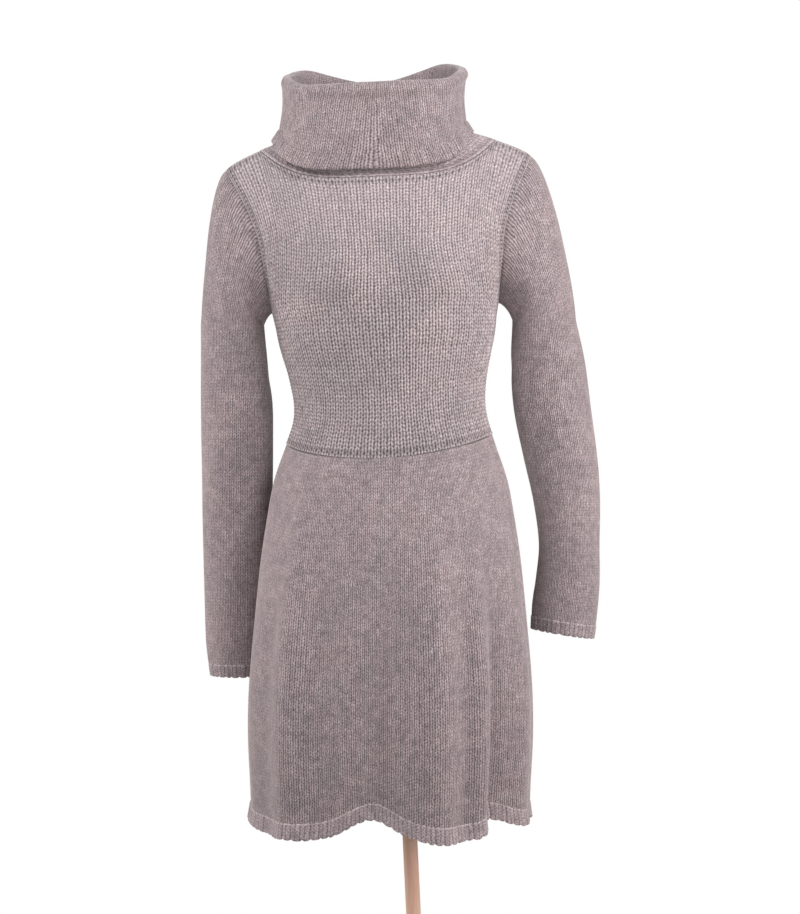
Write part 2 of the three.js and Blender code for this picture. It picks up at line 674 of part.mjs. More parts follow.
function stand() {
  const turned = (name, profile) => {
    const outline = profile.map(([radius, height]) => new THREE.Vector2(radius, height));
    const mesh = new THREE.Mesh(new THREE.LatheGeometry(outline, 36), wood);
    mesh.name = name;
    mesh.rotation.x = Math.PI / 2; // the lathe turns about Y
    dressOnForm.add(mesh);
    return mesh;
  };
  const { radius, height, chamfer } = BASE;
  const edge = [[radius - 1, 0], [radius, 1], [radius, height - chamfer], [radius - chamfer, height]];
  turned("base_disc", [[0, 0], ...edge, [0, height]]);
  const foot = height + 0.3;
  const top = foot + SOCKET.height;
  const boss = [[SOCKET.bore, foot], [SOCKET.radius + 4, foot], [SOCKET.radius, foot + 10], [SOCKET.radius - 3, top]];
  turned("pole_socket", [...boss, [SOCKET.bore, top], [SOCKET.bore, foot]]);

  const from = leanedForm(new THREE.Vector3(0, 0, height + 1));
  const to = leanedForm(new THREE.Vector3(0, 0, FORM_BOTTOM_Z - 0.3));
  const length = from.distanceTo(to);
  const pole = new THREE.Mesh(new THREE.CylinderGeometry(POLE.radius, POLE.radius, length, POLE.sides), wood);
  pole.name = "pole";
  pole.position.copy(from.clone().lerp(to, 0.5));
  pole.quaternion.setFromUnitVectors(new THREE.Vector3(0, 1, 0), to.clone().sub(from).normalize());
  dressOnForm.add(pole);
}

const front = bodicePanel("bodice_front", 1);
const back = bodicePanel("bodice_back", -1);
skirtPanel("skirt_front", -90, 90);
skirtPanel("skirt_back", 90, 270);
hemBand();
sleeve("sleeve_left", SLEEVE_LEFT, 1, { front, back });
sleeve("sleeve_right", SLEEVE_RIGHT, -1, { front, back });
cuff("cuff_left", SLEEVE_LEFT, 1);
cuff("cuff_right", SLEEVE_RIGHT, -1);
neckBand();
collar();
collarEdge();
torsoForm();
stand();

export default dressOnForm;
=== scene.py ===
import math

import bmesh
import bpy
import numpy as np
from mathutils import Matrix, Vector


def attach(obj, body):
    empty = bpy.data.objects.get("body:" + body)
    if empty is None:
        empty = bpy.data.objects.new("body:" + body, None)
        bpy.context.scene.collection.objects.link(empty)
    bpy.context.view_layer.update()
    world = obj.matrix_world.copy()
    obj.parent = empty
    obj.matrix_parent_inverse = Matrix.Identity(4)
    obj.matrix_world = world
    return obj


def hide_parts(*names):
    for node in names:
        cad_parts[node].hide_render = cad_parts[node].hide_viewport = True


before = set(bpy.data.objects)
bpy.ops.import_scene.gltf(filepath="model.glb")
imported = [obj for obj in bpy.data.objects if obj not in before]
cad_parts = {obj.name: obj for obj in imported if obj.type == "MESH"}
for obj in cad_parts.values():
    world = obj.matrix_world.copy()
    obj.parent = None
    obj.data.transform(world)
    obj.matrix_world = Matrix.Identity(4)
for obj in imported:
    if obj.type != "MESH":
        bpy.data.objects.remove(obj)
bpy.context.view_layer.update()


# Camera, in front of the dress at the height of its hips, looking level.
camera = bpy.data.objects.new("camera", bpy.data.cameras.new("camera"))
camera.data.lens = 81.9
camera.location = (-0.03405, -2.6, 0.985)
camera.rotation_euler = (math.pi / 2, 0, 0)
bpy.context.collection.objects.link(camera)
bpy.context.scene.camera = camera
bpy.context.scene.view_settings.view_transform = "Standard"


# Studio: a pale floor, white surroundings, and soft lights high up in front, at both sides and behind.
def soft_light(name, place, aim, size, power, colour=(1, 1, 1)):
    light = bpy.data.objects.new(name, bpy.data.lights.new(name, "AREA"))
    light.data.shape = "DISK"
    light.data.size = size
    light.data.energy = power
    light.data.color = colour
    light.location = place
    light.rotation_euler = (Vector(aim) - Vector(place)).to_track_quat("-Z", "Y").to_euler()
    bpy.context.collection.objects.link(light)


soft_light("key_light_left", (1.15, -1.35, 2.4), (-0.03, 0, 1.45), 0.7, 22)
soft_light("key_light_right", (-1.2, -1.35, 2.4), (-0.03, 0, 1.45), 0.7, 22)
soft_light("fill_light", (1.0, -2.1, 2.1), (0.1, 0, 1.4), 0.8, 11)
soft_light("low_light", (0.1, -2.3, 0.95), (-0.05, 0, 1.42), 0.6, 6)
soft_light("side_light_left", (2.4, -0.9, 1.4), (0.1, 0, 1.15), 1.2, 52, (1, 0.95, 0.93))
soft_light("side_light_right", (-2.5, -0.1, 1.3), (0, 0, 1.1), 1.2, 46, (1, 0.95, 0.93))
soft_light("back_light", (0.2, 2.6, 2.4), (0, 0, 1.0), 1.8, 26)

surroundings = bpy.data.worlds.new("surroundings")
surroundings.use_nodes = True
tree = surroundings.node_tree
seen_directly = tree.nodes.new("ShaderNodeLightPath")
brightness = tree.nodes.new("ShaderNodeMapRange")
brightness.inputs["To Min"].default_value = 0.2
brightness.inputs["To Max"].default_value = 1.0
tree.links.new(seen_directly.outputs["Is Camera Ray"], brightness.inputs["Value"])
tree.links.new(brightness.outputs["Result"], tree.nodes["Background"].inputs["Strength"])
tree.nodes["Background"].inputs["Color"].default_value = (1, 1, 1, 1)
bpy.context.scene.world = surroundings

bm = bmesh.new()
bmesh.ops.create_grid(bm, x_segments=4, y_segments=4, size=1.85)
floor_mesh = bpy.data.meshes.new("floor")
bm.to_mesh(floor_mesh)
bm.free()
floor = bpy.data.objects.new("floor", floor_mesh)
bpy.context.collection.objects.link(floor)
pale = bpy.data.materials.new("pale_floor")
pale.use_nodes = True
grain = pale.node_tree.nodes.new("ShaderNodeTexNoise")
grain.inputs["Scale"].default_value = 40
tint = pale.node_tree.nodes.new("ShaderNodeValToRGB")
tint.color_ramp.elements[0].color = (0.82, 0.79, 0.765, 1)
tint.color_ramp.elements[1].color = (0.86, 0.83, 0.805, 1)
pale.node_tree.links.new(grain.outputs["Fac"], tint.inputs["Fac"])
pale.node_tree.links.new(tint.outputs["Color"], pale.node_tree.nodes["Principled BSDF"].inputs["Base Color"])
pale.node_tree.nodes["Principled BSDF"].inputs["Roughness"].default_value = 0.8
floor_mesh.materials.append(pale)


# Bodice: two panels of chunky ribbed wool, each knitted in 48 raised wales that fan out to the shoulders.
# They are seamed to each other at the sides and shoulders and to the skirt at the waist. Sizes are in mm.
MM = 0.001
WALL = 2.2
SEAM = 0.12
ARMPIT_Z = 1173
SHOULDER_TIP_Z = 1350
LEAN, LEAN_FOOT_Z = 0.0465, 45
HANG_Z, HANG_RUN = 973, 100
NECK_POINT_X, NECK_POINT_Z = 148, 1371
NECKLINE_Z = {1: 1323.5, -1: 1377}  # facing forwards 1, backwards -1
NECK_POINT_SHARE = 0.75
BUST_DEPTH = 12.5
WAIST_Z = 1007
BODICE_WALES, BODICE_COURSES = 48, 75
BODICE_LENGTH, BODICE_WIDTH = 370, 260
FIGURE = [  # height, half the width, and the reach forwards and backwards
    (500, 171.5, 147, 147), (580, 174.5, 148, 149), (640, 177, 146, 149), (700, 175.5, 142, 146),
    (780, 168.5, 134, 140), (856, 160.5, 125, 132), (906, 153, 117, 124), (956, 143.5, 107, 113),
    (1000, 128.5, 96, 97), (1031, 118.5, 89, 87), (1056, 116.5, 87, 82), (1090, 121.5, 91, 81),
    (1131, 131.5, 101, 86), (1173, 139, 112, 92), (1206, 148, 115, 96), (1240, 160, 111, 97),
    (1280, 174, 101, 94), (1320, 186, 87, 88), (1350, 189, 77, 82), (1371, 148, 70, 77),
    (1385, 107, 65, 71), (1394, 82, 61, 65), (1404, 63, 58, 58), (1418, 56, 54, 54),
]
ARMHOLE = [(1173, 139), (1200, 141), (1228, 145), (1258, 149.5), (1290, 160), (1325, 176), (1350, 189)]


def curve(places, values):
    """A smooth curve through a table of measurements."""
    places, values = np.array(places, float), np.array(values, float)
    if places[0] > places[-1]:
        places, values = places[::-1], values[::-1]
    last = len(places) - 1
    before, after = np.maximum(np.arange(last + 1) - 1, 0), np.minimum(np.arange(last + 1) + 1, last)
    wide = (-1,) + (1,) * (values.ndim - 1)
    slopes = (values[after] - values[before]) / (places[after] - places[before]).reshape(wide)

    def at(place):
        place = np.clip(np.asarray(place, float), places[0], places[-1])
        i = np.clip(np.searchsorted(places, place, side="right") - 1, 0, last - 1)
        span = (places[i + 1] - places[i]).reshape(place.shape + (1,) * (values.ndim - 1))
        u = (place - places[i]).reshape(span.shape) / span
        return (
            (2 * u**3 - 3 * u**2 + 1) * values[i]
            + (u**3 - 2 * u**2 + u) * span * slopes[i]
            + (3 * u**2 - 2 * u**3) * values[i + 1]
            + (u**3 - u**2) * span * slopes[i + 1]
        )

    return at


def measured(table, k):
    """A smooth curve through one column of a table, by the height in its first column."""
    return curve([row[0] for row in table], [row[k] for row in table])


half_width, reach_front, reach_back = (measured(FIGURE, k) for k in (1, 2, 3))
armhole_width = measured(ARMHOLE, 1)


def mix(a, b, share):
    return a + (b - a) * share


def smooth(value, low, high):
    u = np.clip((value - low) / (high - low), 0, 1)
    return u * u * (3 - 2 * u)


def points(x, y, z):
    return np.stack(np.broadcast_arrays(x, y, z), axis=-1)


def leaned(place, hangs=True):
    """The stand leans to one side, and the skirt hangs straight below the hips."""
    x, y, z = place[..., 0], place[..., 1], place[..., 2]
    above = np.clip(z - HANG_Z, 0, HANG_RUN)
    straight = hangs & (z < HANG_Z + HANG_RUN)
    hung = HANG_Z - LEAN_FOOT_Z + HANG_RUN / 2 + above**2 / (2 * HANG_RUN)
    shift = np.where(straight, hung, z - LEAN_FOOT_Z)
    turn = np.where(straight, smooth(above, 0, HANG_RUN), 1)
    return points(x - LEAN * shift, y, z + LEAN * turn * x)


def level_of(x, y, z, facing):
    """1 on the figure's surface and more outside it, with the figure's reach at that height."""
    bust = BUST_DEPTH * np.exp(-(((np.abs(x) - 64) / 40) ** 2) - ((z - 1212) / 40) ** 2) * (facing > 0)
    reach = np.where(facing > 0, reach_front(z), reach_back(z)) + bust
    return (x / half_width(z)) ** 2 + (y / reach) ** 2, reach


def figure_point(x, z, facing, inset=0):
    """A point on the figure's surface, or inset mm inside it."""
    _, reach = level_of(x, 0, z, facing)
    across = np.clip(x / (half_width(z) - inset), -1, 1)
    return points(across * (half_width(z) - inset), -facing * (reach - inset) * np.sqrt(1 - across**2), z)


def figure_normal(place, facing):
    """The way the figure's surface faces."""
    x, y, z = place[..., 0], place[..., 1], place[..., 2]
    e = 0.5
    steep = points(
        level_of(x + e, y, z, facing)[0] - level_of(x - e, y, z, facing)[0],
        level_of(x, y + e, z, facing)[0] - level_of(x, y - e, z, facing)[0],
        level_of(x, y, z + e, facing)[0] - level_of(x, y, z - e, facing)[0],
    )
    return steep / np.linalg.norm(steep, axis=-1, keepdims=True)


def waist_seam_z(heading):
    side, forward = np.sin(heading), np.abs(np.cos(heading))
    return WAIST_Z + 4 * side - 23 * forward**1.5 + 5 * side * forward


def neckline_z(middle, end, aside):
    return mix(middle, end, np.abs(aside) ** 3.6)


def bodice_point(across, along, facing):
    """across runs from side to side, along from -1 at the waist through 0 at the armpit to 1 at the top."""
    heading = math.radians(90) * across if facing > 0 else math.radians(180) - math.radians(90) * across
    low_z = mix(waist_seam_z(heading), ARMPIT_Z, 1 + np.minimum(along, 0))
    evened = across - 0.026 * np.sin(math.radians(180) * across)
    low = figure_point(half_width(low_z) * np.sin(math.radians(90) * evened), low_z, facing)
    share, up = np.abs(across), np.clip(along, 0, 1)
    on_neck = np.minimum(share / NECK_POINT_SHARE, 1)
    top_z = np.where(
        share <= NECK_POINT_SHARE,
        neckline_z(NECKLINE_Z[facing], NECK_POINT_Z, on_neck),
        mix(NECK_POINT_Z, SHOULDER_TIP_Z, (share - NECK_POINT_SHARE) / (1 - NECK_POINT_SHARE)),
    )
    top_x = np.where(share <= NECK_POINT_SHARE, NECK_POINT_X * on_neck, half_width(top_z))
    wrap = np.radians(mix(90, 70, smooth(up, 0, 0.45)))
    even = np.sin(np.abs(evened) * wrap) / np.sin(wrap)
    spread = mix(even, top_x / half_width(SHOULDER_TIP_Z), smooth(up, 0.25, 1) * smooth(up, 0, 1))
    edge = armhole_width(mix(ARMPIT_Z, SHOULDER_TIP_Z, up))
    high = figure_point(np.sign(across) * edge * spread, mix(ARMPIT_Z, top_z, up), facing)
    return np.where((along <= 0)[..., None], low, high)


def knit_relief(wale, course, slant, dip):
    """How far the yarn stands out, from 0 between two wales to 1 on a stitch's leg. dip is the groove between
    its two legs, as a share of the one between two wales."""
    aside = np.abs(wale % 1 - 0.5) * 2
    leg = np.sqrt(np.maximum(1 - aside**2.4, 0)) * (1 - dip * np.exp(-((aside / 0.3) ** 2)))
    bead = 0.5 + 0.5 * np.cos(2 * math.pi * (course - slant * aside))
    return leg * (0.6 + 0.4 * bead)


def edge_rows(count, length):
    """Shares of a length, with close steps at both ends where the cloth turns over its edge."""
    lead = np.array([0, 0.35, 0.9, 1.7]) / length
    return np.concatenate([lead, np.linspace(lead[-1], 1 - lead[-1], count + 1)[1:-1], 1 - lead[::-1]])


def rounding(share, length, first, last):
    """How full the cloth is near its two edges. first and last say how much is left at each edge: little at a
    free edge, and most of it at a seam."""
    near = np.minimum(share, 1 - share) * length
    full = np.sqrt(np.maximum(1 - (1 - np.clip(near / 1.7, 0, 1)) ** 2, 0))
    return mix(np.where(share < 0.5, first, last), 1, full)


def knitted(name, columns, outside, inside, place, stitches, tube):
    """A knitted wall. Its rows run along the outside, round the edge and back along the inside.
    place(across, along, inner) gives points in mm and stitches(across, along) the wale and course."""
    rows = len(outside) + len(inside)
    bm = bmesh.new()
    bmesh.ops.create_grid(bm, x_segments=columns, y_segments=rows if tube else rows - 1, size=1)
    mesh = bpy.data.meshes.new(name)
    bm.to_mesh(mesh)
    flat = np.empty(len(mesh.vertices) * 3)
    mesh.vertices.foreach_get("co", flat)
    flat = flat.reshape(-1, 3)
    column = np.rint((flat[:, 0] + 1) / 2 * columns).astype(int)
    row = np.rint((flat[:, 1] + 1) / 2 * (rows if tube else rows - 1)).astype(int) % rows
    along = np.concatenate([outside, inside])[row]
    inner = row >= len(outside)
    across = column / columns
    placed = place(across % 1 if tube else across, along, inner) * MM
    mesh.vertices.foreach_set("co", placed.ravel())
    wales = stitches(across, along)
    uv = mesh.uv_layers.new(name="stitches")
    corner = np.empty(len(mesh.loops), int)
    mesh.loops.foreach_get("vertex_index", corner)
    uv.data.foreach_set("uv", np.stack(wales, axis=-1)[corner].astype(np.float32).ravel())
    bm.clear()
    bm.from_mesh(mesh)
    if not tube:
        bm.verts.ensure_lookup_table()
        bottom = [bm.verts[i] for i in np.flatnonzero(row == 0)]
        top = [bm.verts[i] for i in np.flatnonzero(row == rows - 1)]
        for ends in (top, bottom):
            ends.sort(key=lambda v: column[v.index])
        sides = {0: ([], []), columns: ([], [])}
        for edge in bm.edges:
            a, b = (v.index for v in edge.verts)
            if column[a] == column[b] and column[a] in sides and inner[a] == inner[b]:
                sides[column[a]][int(inner[a])].append(edge)
        for pair in sides.values():
            bmesh.ops.bridge_loops(bm, edges=pair[0] + pair[1])
        closing = [bm.edges.get((a, b)) for ends in (bottom, top) for a, b in zip(ends, ends[1:])]
        bmesh.ops.bridge_loops(bm, edges=closing)
    bmesh.ops.remove_doubles(bm, verts=bm.verts, dist=2e-6)
    bmesh.ops.recalc_face_normals(bm, faces=bm.faces)
    for face in bm.faces:
        face.smooth = True
    bm.to_mesh(mesh)
    bm.free()
    piece = bpy.data.objects.new(name, mesh)
    bpy.context.collection.objects.link(piece)
    return piece


def knit_material(
    name, face, hollow_shade, slant, dip, loop, depth, dots, narrow, fleece, pile,
    top_line=0.0, open_rows=(), painted_low_shade=None,
):
    """Heathered wool. face is the yarn's colour on a stitch and hollow its colour between two, darkened there
    as painted shade; loop is how much each course stands out, depth the bump in mm, dots how dark the painted
    shade in the holes between stitches is, narrow how small they are, fleece how felted the wool is, and pile
    how much fluff it has. top_line is how light the linked stitches at a strip's top are. Where the knit is
    linked, open_rows have larger holes. The last argument darkens the colour lower down as painted shade: it
    gives the heights in m between which that ends, and its tone."""
    material = bpy.data.materials.new(name)
    material.use_nodes = True
    nodes, links = material.node_tree.nodes, material.node_tree.links
    surface = nodes["Principled BSDF"]

    def maths(operation, *inputs, clamp=False):
        node = nodes.new("ShaderNodeMath")
        node.operation = operation
        node.use_clamp = clamp
        for socket, value in zip(node.inputs, inputs):
            if isinstance(value, (int, float)):
                socket.default_value = value
            else:
                links.new(value, socket)
        return node.outputs[0]

    def noise(scale, detail, rough):
        node = nodes.new("ShaderNodeTexNoise")
        node.inputs["Scale"].default_value = scale
        node.inputs["Detail"].default_value = detail
        node.inputs["Roughness"].default_value = rough
        links.new(place, node.inputs["Vector"])
        return node.outputs["Fac"]

    def blend(factor, first, second, mode="MIX"):
        node = nodes.new("ShaderNodeMix")
        node.data_type = "RGBA"
        node.blend_type = mode
        for socket, value in ((node.inputs[0], factor), (node.inputs[6], first), (node.inputs[7], second)):
            if isinstance(value, (tuple, float)):
                socket.default_value = (*value, 1) if isinstance(value, tuple) else value
            else:
                links.new(value, socket)
        return node.outputs[2]

    def ranged(value, low, high, to_low, to_high):
        node = nodes.new("ShaderNodeMapRange")
        for key, number in (("From Min", low), ("From Max", high), ("To Min", to_low), ("To Max", to_high)):
            node.inputs[key].default_value = number
        links.new(value, node.inputs["Value"])
        return node.outputs["Result"]

    place = nodes.new("ShaderNodeTexCoord").outputs["Object"]
    stitches = nodes.new("ShaderNodeUVMap")
    stitches.uv_map = "stitches"
    parts = nodes.new("ShaderNodeSeparateXYZ")
    links.new(stitches.outputs["UV"], parts.inputs[0])
    # The yarn wanders a little from stitch to stitch.
    wander = maths("MULTIPLY", maths("SUBTRACT", noise(190, 1, 0.5), 0.5), 0.26 + 0.16 * fleece)
    wale = maths("ADD", parts.outputs["X"], wander)
    course = maths("ADD", parts.outputs["Y"], maths("MULTIPLY", wander, 1.3))
    aside = maths("MULTIPLY", maths("ABSOLUTE", maths("SUBTRACT", maths("FRACT", wale), 0.5)), 2)
    middle = maths("EXPONENT", maths("MULTIPLY", maths("POWER", aside, 2), -1 / 0.3**2))
    leg = maths("SQRT", maths("SUBTRACT", 1, maths("POWER", aside, 2.4), clamp=True))
    leg = maths("MULTIPLY", leg, maths("MULTIPLY_ADD", middle, -dip, 1))
    lean = maths("SUBTRACT", course, maths("MULTIPLY", aside, slant))
    bead = maths("MULTIPLY_ADD", maths("COSINE", maths("MULTIPLY", lean, 2 * math.pi)), 0.5, 0.5)
    height = maths("MULTIPLY", leg, maths("MULTIPLY_ADD", bead, loop, 1 - loop))
    # Painted shade in the holes between the legs, one for each course.
    groove = maths("MULTIPLY_ADD", middle, dip, maths("POWER", aside, narrow))
    hole_shade = maths("MULTIPLY", groove, maths("SUBTRACT", 1.0, maths("MULTIPLY", bead, 0.6 + loop)))
    spot = nodes.new("ShaderNodeSeparateXYZ")
    links.new(place, spot.inputs[0])
    # An open knit is stretched at the waist and its holes close towards the shoulders: more painted shade
    # lower down.
    if open_rows:
        hole_shade = maths("MULTIPLY", hole_shade, ranged(spot.outputs["Z"], 1.14, 1.34, 1.2, 0.55))
    for axis, row in open_rows:
        near = maths("SUBTRACT", parts.outputs[axis], row)
        near = maths("EXPONENT", maths("MULTIPLY", maths("POWER", maths("ABSOLUTE", near), 2), -3.0))
        wide = maths("MULTIPLY", maths("POWER", aside if axis == "Y" else bead, 1.6), near)
        hole_shade = maths("MAXIMUM", hole_shade, maths("MULTIPLY", wide, 1.2))
    fibres = noise(1500, 3, 0.75)
    flecks = noise(480, 2, 0.7)
    patches = noise(95, 3, 0.6)
    clouds = noise(17, 2, 0.5)
    felted = (1 - 0.17 * fleece, 1 - 0.17 * fleece, 1 - 0.16 * fleece)
    # Painted shade: the colour darkens towards the hollow tone between the stitches' legs, where the bump is
    # low.
    colour = blend(ranged(height, 0.15, 0.85, 0.0, 1.0), hollow_shade, face)
    for grain, low, high, dark, light in (
        (flecks, 0.36, 0.66, (0.66, 0.65, 0.67), (1.34, 1.33, 1.33)),
        (patches, 0.36, 0.66, felted, (1 + 0.15 * fleece,) * 3),
        (clouds, 0.36, 0.64, (0.93, 0.935, 0.95), (1.05, 1.035, 1.02)),
    ):
        colour = blend(1.0, colour, blend(ranged(grain, low, high, 0.0, 1.0), dark, light), "MULTIPLY")
    # Painted shade: the holes darken towards 0.22 of the hollow tone.
    colour = blend(maths("MULTIPLY", hole_shade, dots, clamp=True), colour, tuple(0.22 * c for c in hollow_shade))
    if top_line:
        from_line = maths("ABSOLUTE", maths("SUBTRACT", parts.outputs["Y"], 0.35))
        line = ranged(from_line, 0.0, 0.4, top_line, 0.0)
        line = maths("MULTIPLY", line, ranged(flecks, 0.4, 0.6, 0.2, 1.0))
        colour = blend(line, colour, (0.72, 0.64, 0.64))
    # Painted shade: the colour darkens downwards from the upper of the given heights to the lower one.
    if painted_low_shade:
        start, end, tone = painted_low_shade
        colour = blend(ranged(spot.outputs["Z"], start, end, 1.0, 0.0), colour, (tone,) * 3, "MULTIPLY")
    links.new(colour, surface.inputs["Base Color"])
    links.new(ranged(fibres, 0.3, 0.7, 0.88, 1.0), surface.inputs["Roughness"])
    surface.inputs["Specular IOR Level"].default_value = 0.18
    surface.inputs["Sheen Weight"].default_value = pile
    surface.inputs["Sheen Roughness"].default_value = 0.45
    surface.inputs["Sheen Tint"].default_value = (1.0, 0.92, 0.9, 1)
    relief = maths("MULTIPLY_ADD", fibres, 0.35, maths("MULTIPLY_ADD", flecks, 0.3, height))
    bump = nodes.new("ShaderNodeBump")
    bump.inputs["Strength"].default_value = 1.0
    bump.inputs["Distance"].default_value = depth * MM
    links.new(relief, bump.inputs["Height"])
    links.new(bump.outputs["Normal"], surface.inputs["Normal"])
    return material


# The bodice's colour darkens towards the waist as painted shade.
ribbed_wool = knit_material(
    "ribbed_wool", (0.495, 0.43, 0.44), (0.21, 0.177, 0.185), slant=0.5, dip=0.8, loop=0.35, depth=0.6,
    dots=0.85, narrow=5, fleece=0.4, pile=0.3, open_rows=(("Y", 1.2), ("Y", 73.6), ("X", 1), ("X", 47)),
    painted_low_shade=(0.98, 1.16, 0.84),
)

BODICE_RELIEF = 1.75
BODICE_CREASES = [  # place across and height, half the width and height, depth
    (62, 1117, 45, 5, 1.8), (-70, 1098, 40, 7, 1.4), (96, 1076, 30, 6, 1.6), (-104, 1150, 26, 9, 2.0),
    (108, 1158, 24, 9, 2.0), (-20, 1062, 50, 6, 1.0), (113, 1188, 11, 28, 2.5), (-113, 1188, 11, 28, 2.5),
    (62, 1168, 38, 17, 3.0), (-66, 1168, 38, 17, 3.0),
]


def bodice(name, facing):
    low, high = -1 + SEAM / (ARMPIT_Z - WAIST_Z), 1

    def place(across, along, inner):
        aside = (2 * across - 1) * (1 - SEAM / BODICE_WIDTH)
        up = mix(low, high, along)
        inside = bodice_point(aside, up, facing)
        stitch = knit_relief(across * BODICE_WALES, along * BODICE_COURSES, 0.5, 0.8)
        full = rounding(along, BODICE_LENGTH, 0.95, 0.85)
        relief = BODICE_RELIEF * mix(1, 0.55, smooth(up, 0.4, 1))
        depth = np.where(inner, 0, 0.5 + (WALL - 0.9) * full + relief * stitch * full)
        for x, z, wide, tall, deep in BODICE_CREASES:
            across_it = np.exp(-(((inside[:, 0] * facing - x) / wide) ** 2))
            depth = depth - deep * across_it * np.exp(-(((inside[:, 2] - z) / tall) ** 2))
        cloth = inside + figure_normal(inside, facing) * depth[:, None]
        cloth[:, 1] -= np.where(along == 1, facing * SEAM / 2, 0)
        return leaned(cloth)

    outside = edge_rows(2 * BODICE_COURSES, BODICE_LENGTH)
    inside = np.linspace(1, 0, 14)
    stitches = lambda across, along: (across * BODICE_WALES, along * BODICE_COURSES)
    piece = knitted(name + "_knit", 8 * BODICE_WALES, outside, inside, place, stitches, tube=False)
    piece.data.materials.append(ribbed_wool)
    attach(piece, "root")
    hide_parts(name)


bodice("bodice_front", 1)
bodice("bodice_back", -1)


# Skirt: a front and a back panel of finer plain wool, seamed at the sides and to the bodice at the waist.
# It flares to the hem and falls in a few soft folds.
SKIRT_WALES, SKIRT_COURSES = 104, 116
SKIRT_LENGTH = 460
HEM_Z, HEM_BAND = 528, 20
FOLDS_START_Z, SOFT_FOLDS_RUN = 960, 260
SKIRT_FOLDS = [  # heading, depth, spread in degrees, lift of the hem
    (-8, 15, 14, 26), (50, 15, 11, 20), (80, 3, 14, 13), (115, 9, 13, 8),
    (158, 13, 16, 16), (209, 12, 15, 14), (248, 8, 12, 8), (274, 1, 22, 9),
]
SOFT_FOLDS = [  # heading, depth inwards, spread in degrees, height at which it starts
    (-44, -12, 8, 1000), (-27, 6, 8, 970), (-7, 9, 11, 980), (19, -12, 8, 1000), (30, 4, 5, 930),
    (38, -11, 6, 950), (47, 10, 5, 900), (66, -6, 7, 930), (118, 2, 8, 880), (138, -5, 8, 930),
    (172, 4, 9, 900), (188, -6, 8, 950), (226, -5, 7, 900), (238, 4, 6, 860), (292, -4, 8, 920),
]


def turn_from(heading, other):
    return (heading - other + 180) % 360 - 180


def near_fold(heading, fold):
    """1 in the middle of a fold, falling off beside it."""
    return np.exp(-((turn_from(heading, fold[0]) / fold[2]) ** 2))


def folds_at(heading, column):
    return sum(f[column] * near_fold(heading, f) for f in SKIRT_FOLDS)


def skirt_point(heading, z, flare=0):
    angle = np.radians(heading)
    fade = np.clip((FOLDS_START_Z - z) / (FOLDS_START_Z - HEM_Z), 0, 1) ** 1.4
    soft = sum(f[1] * near_fold(heading, f) * smooth(f[3] - z, 0, SOFT_FOLDS_RUN) for f in SOFT_FOLDS)
    change = flare - folds_at(heading, 1) * fade - soft
    reach = np.where(np.cos(angle) > 0, reach_front(z), reach_back(z)) + change
    return points((half_width(z) + change) * np.sin(angle), -reach * np.cos(angle), z)


def band_top_z(heading):
    column = np.floor(heading / 5)
    seam_z = lambda k: HEM_Z + HEM_BAND + folds_at(k * 5, 3)
    return mix(seam_z(column), seam_z(column + 1), heading / 5 - column)


def outward(surface, heading, share):
    """The way a surface of headings and shares of its length faces."""
    around = surface(heading + 0.1, share) - surface(heading - 0.1, share)
    down = surface(heading, np.minimum(share + 1e-3, 1)) - surface(heading, np.maximum(share - 1e-3, 0))
    out = np.cross(down, around)
    return out / np.linalg.norm(out, axis=-1, keepdims=True)


# Its colour darkens below 0.9 m as painted shade, on the lower skirt and sleeves.
plain_wool = knit_material(
    "plain_wool", (0.395, 0.33, 0.34), (0.195, 0.157, 0.162), slant=0.6, dip=0.8, loop=0.12, depth=0.4,
    dots=1.0, narrow=4, fleece=1.0, pile=0.45, painted_low_shade=(0.55, 0.9, 0.75),
)


def skirt(name, start, end):
    trim = math.degrees(SEAM / 2 / 150)
    top = lambda heading: waist_seam_z(np.radians(heading)) - SEAM / 2
    bottom = lambda heading: band_top_z(heading) + SEAM
    surface = lambda heading, share: skirt_point(heading, mix(top(heading), bottom(heading), share))

    def place(across, along, inner):
        heading = mix(start + trim, end - trim, across)
        full = rounding(along, SKIRT_LENGTH, 0.95, 0.95)
        wale = knit_relief(across * SKIRT_WALES, 0, 0, 0.1) * full
        depth = np.where(inner, 0, 0.7 + (WALL - 1.0) * full + 0.3 * wale)
        return leaned(surface(heading, along) + outward(surface, heading, along) * depth[:, None])

    stitches = lambda across, along: (across * SKIRT_WALES, -along * SKIRT_COURSES)
    rows = edge_rows(100, SKIRT_LENGTH)
    piece = knitted(name + "_knit", 4 * SKIRT_WALES, rows, np.linspace(1, 0, 24), place, stitches, tube=False)
    piece.data.materials.append(plain_wool)
    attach(piece, "root")
    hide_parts(name)


skirt("skirt_front", -90, 90)
skirt("skirt_back", 90, 270)


# Hem band: a narrow strip of uneven rib, linked all round the skirt's lower edge.
# It flares out a little and follows the skirt's folds.
HEM_RIBS = 108
BAND_COURSE = 3.6
edge_rib_wool = knit_material(
    "edge_rib_wool", (0.312, 0.262, 0.27), (0.14, 0.112, 0.12), slant=0.8, dip=0.2, loop=0.4, depth=0.5,
    dots=0.6, narrow=4, fleece=0.8, pile=0.4, top_line=0.4,
)


def uneven(share, count, seed):
    """A slow random drift round a loop, from -1 to 1."""
    noise = np.random.default_rng(seed).uniform(-1, 1, count)
    around = np.concatenate([noise[-2:], noise, noise[:3]])
    return curve(np.arange(-2, count + 3), around)((share % 1) * count)


def rib_relief(rib, fill):
    """A rounded rib with a narrow gap beside it. fill is the share of the pitch that the rib takes."""
    aside = np.abs(rib % 1 - 0.5) * 2
    return np.sqrt(np.maximum(1 - np.clip(aside / fill, 0, 1) ** 3, 0))


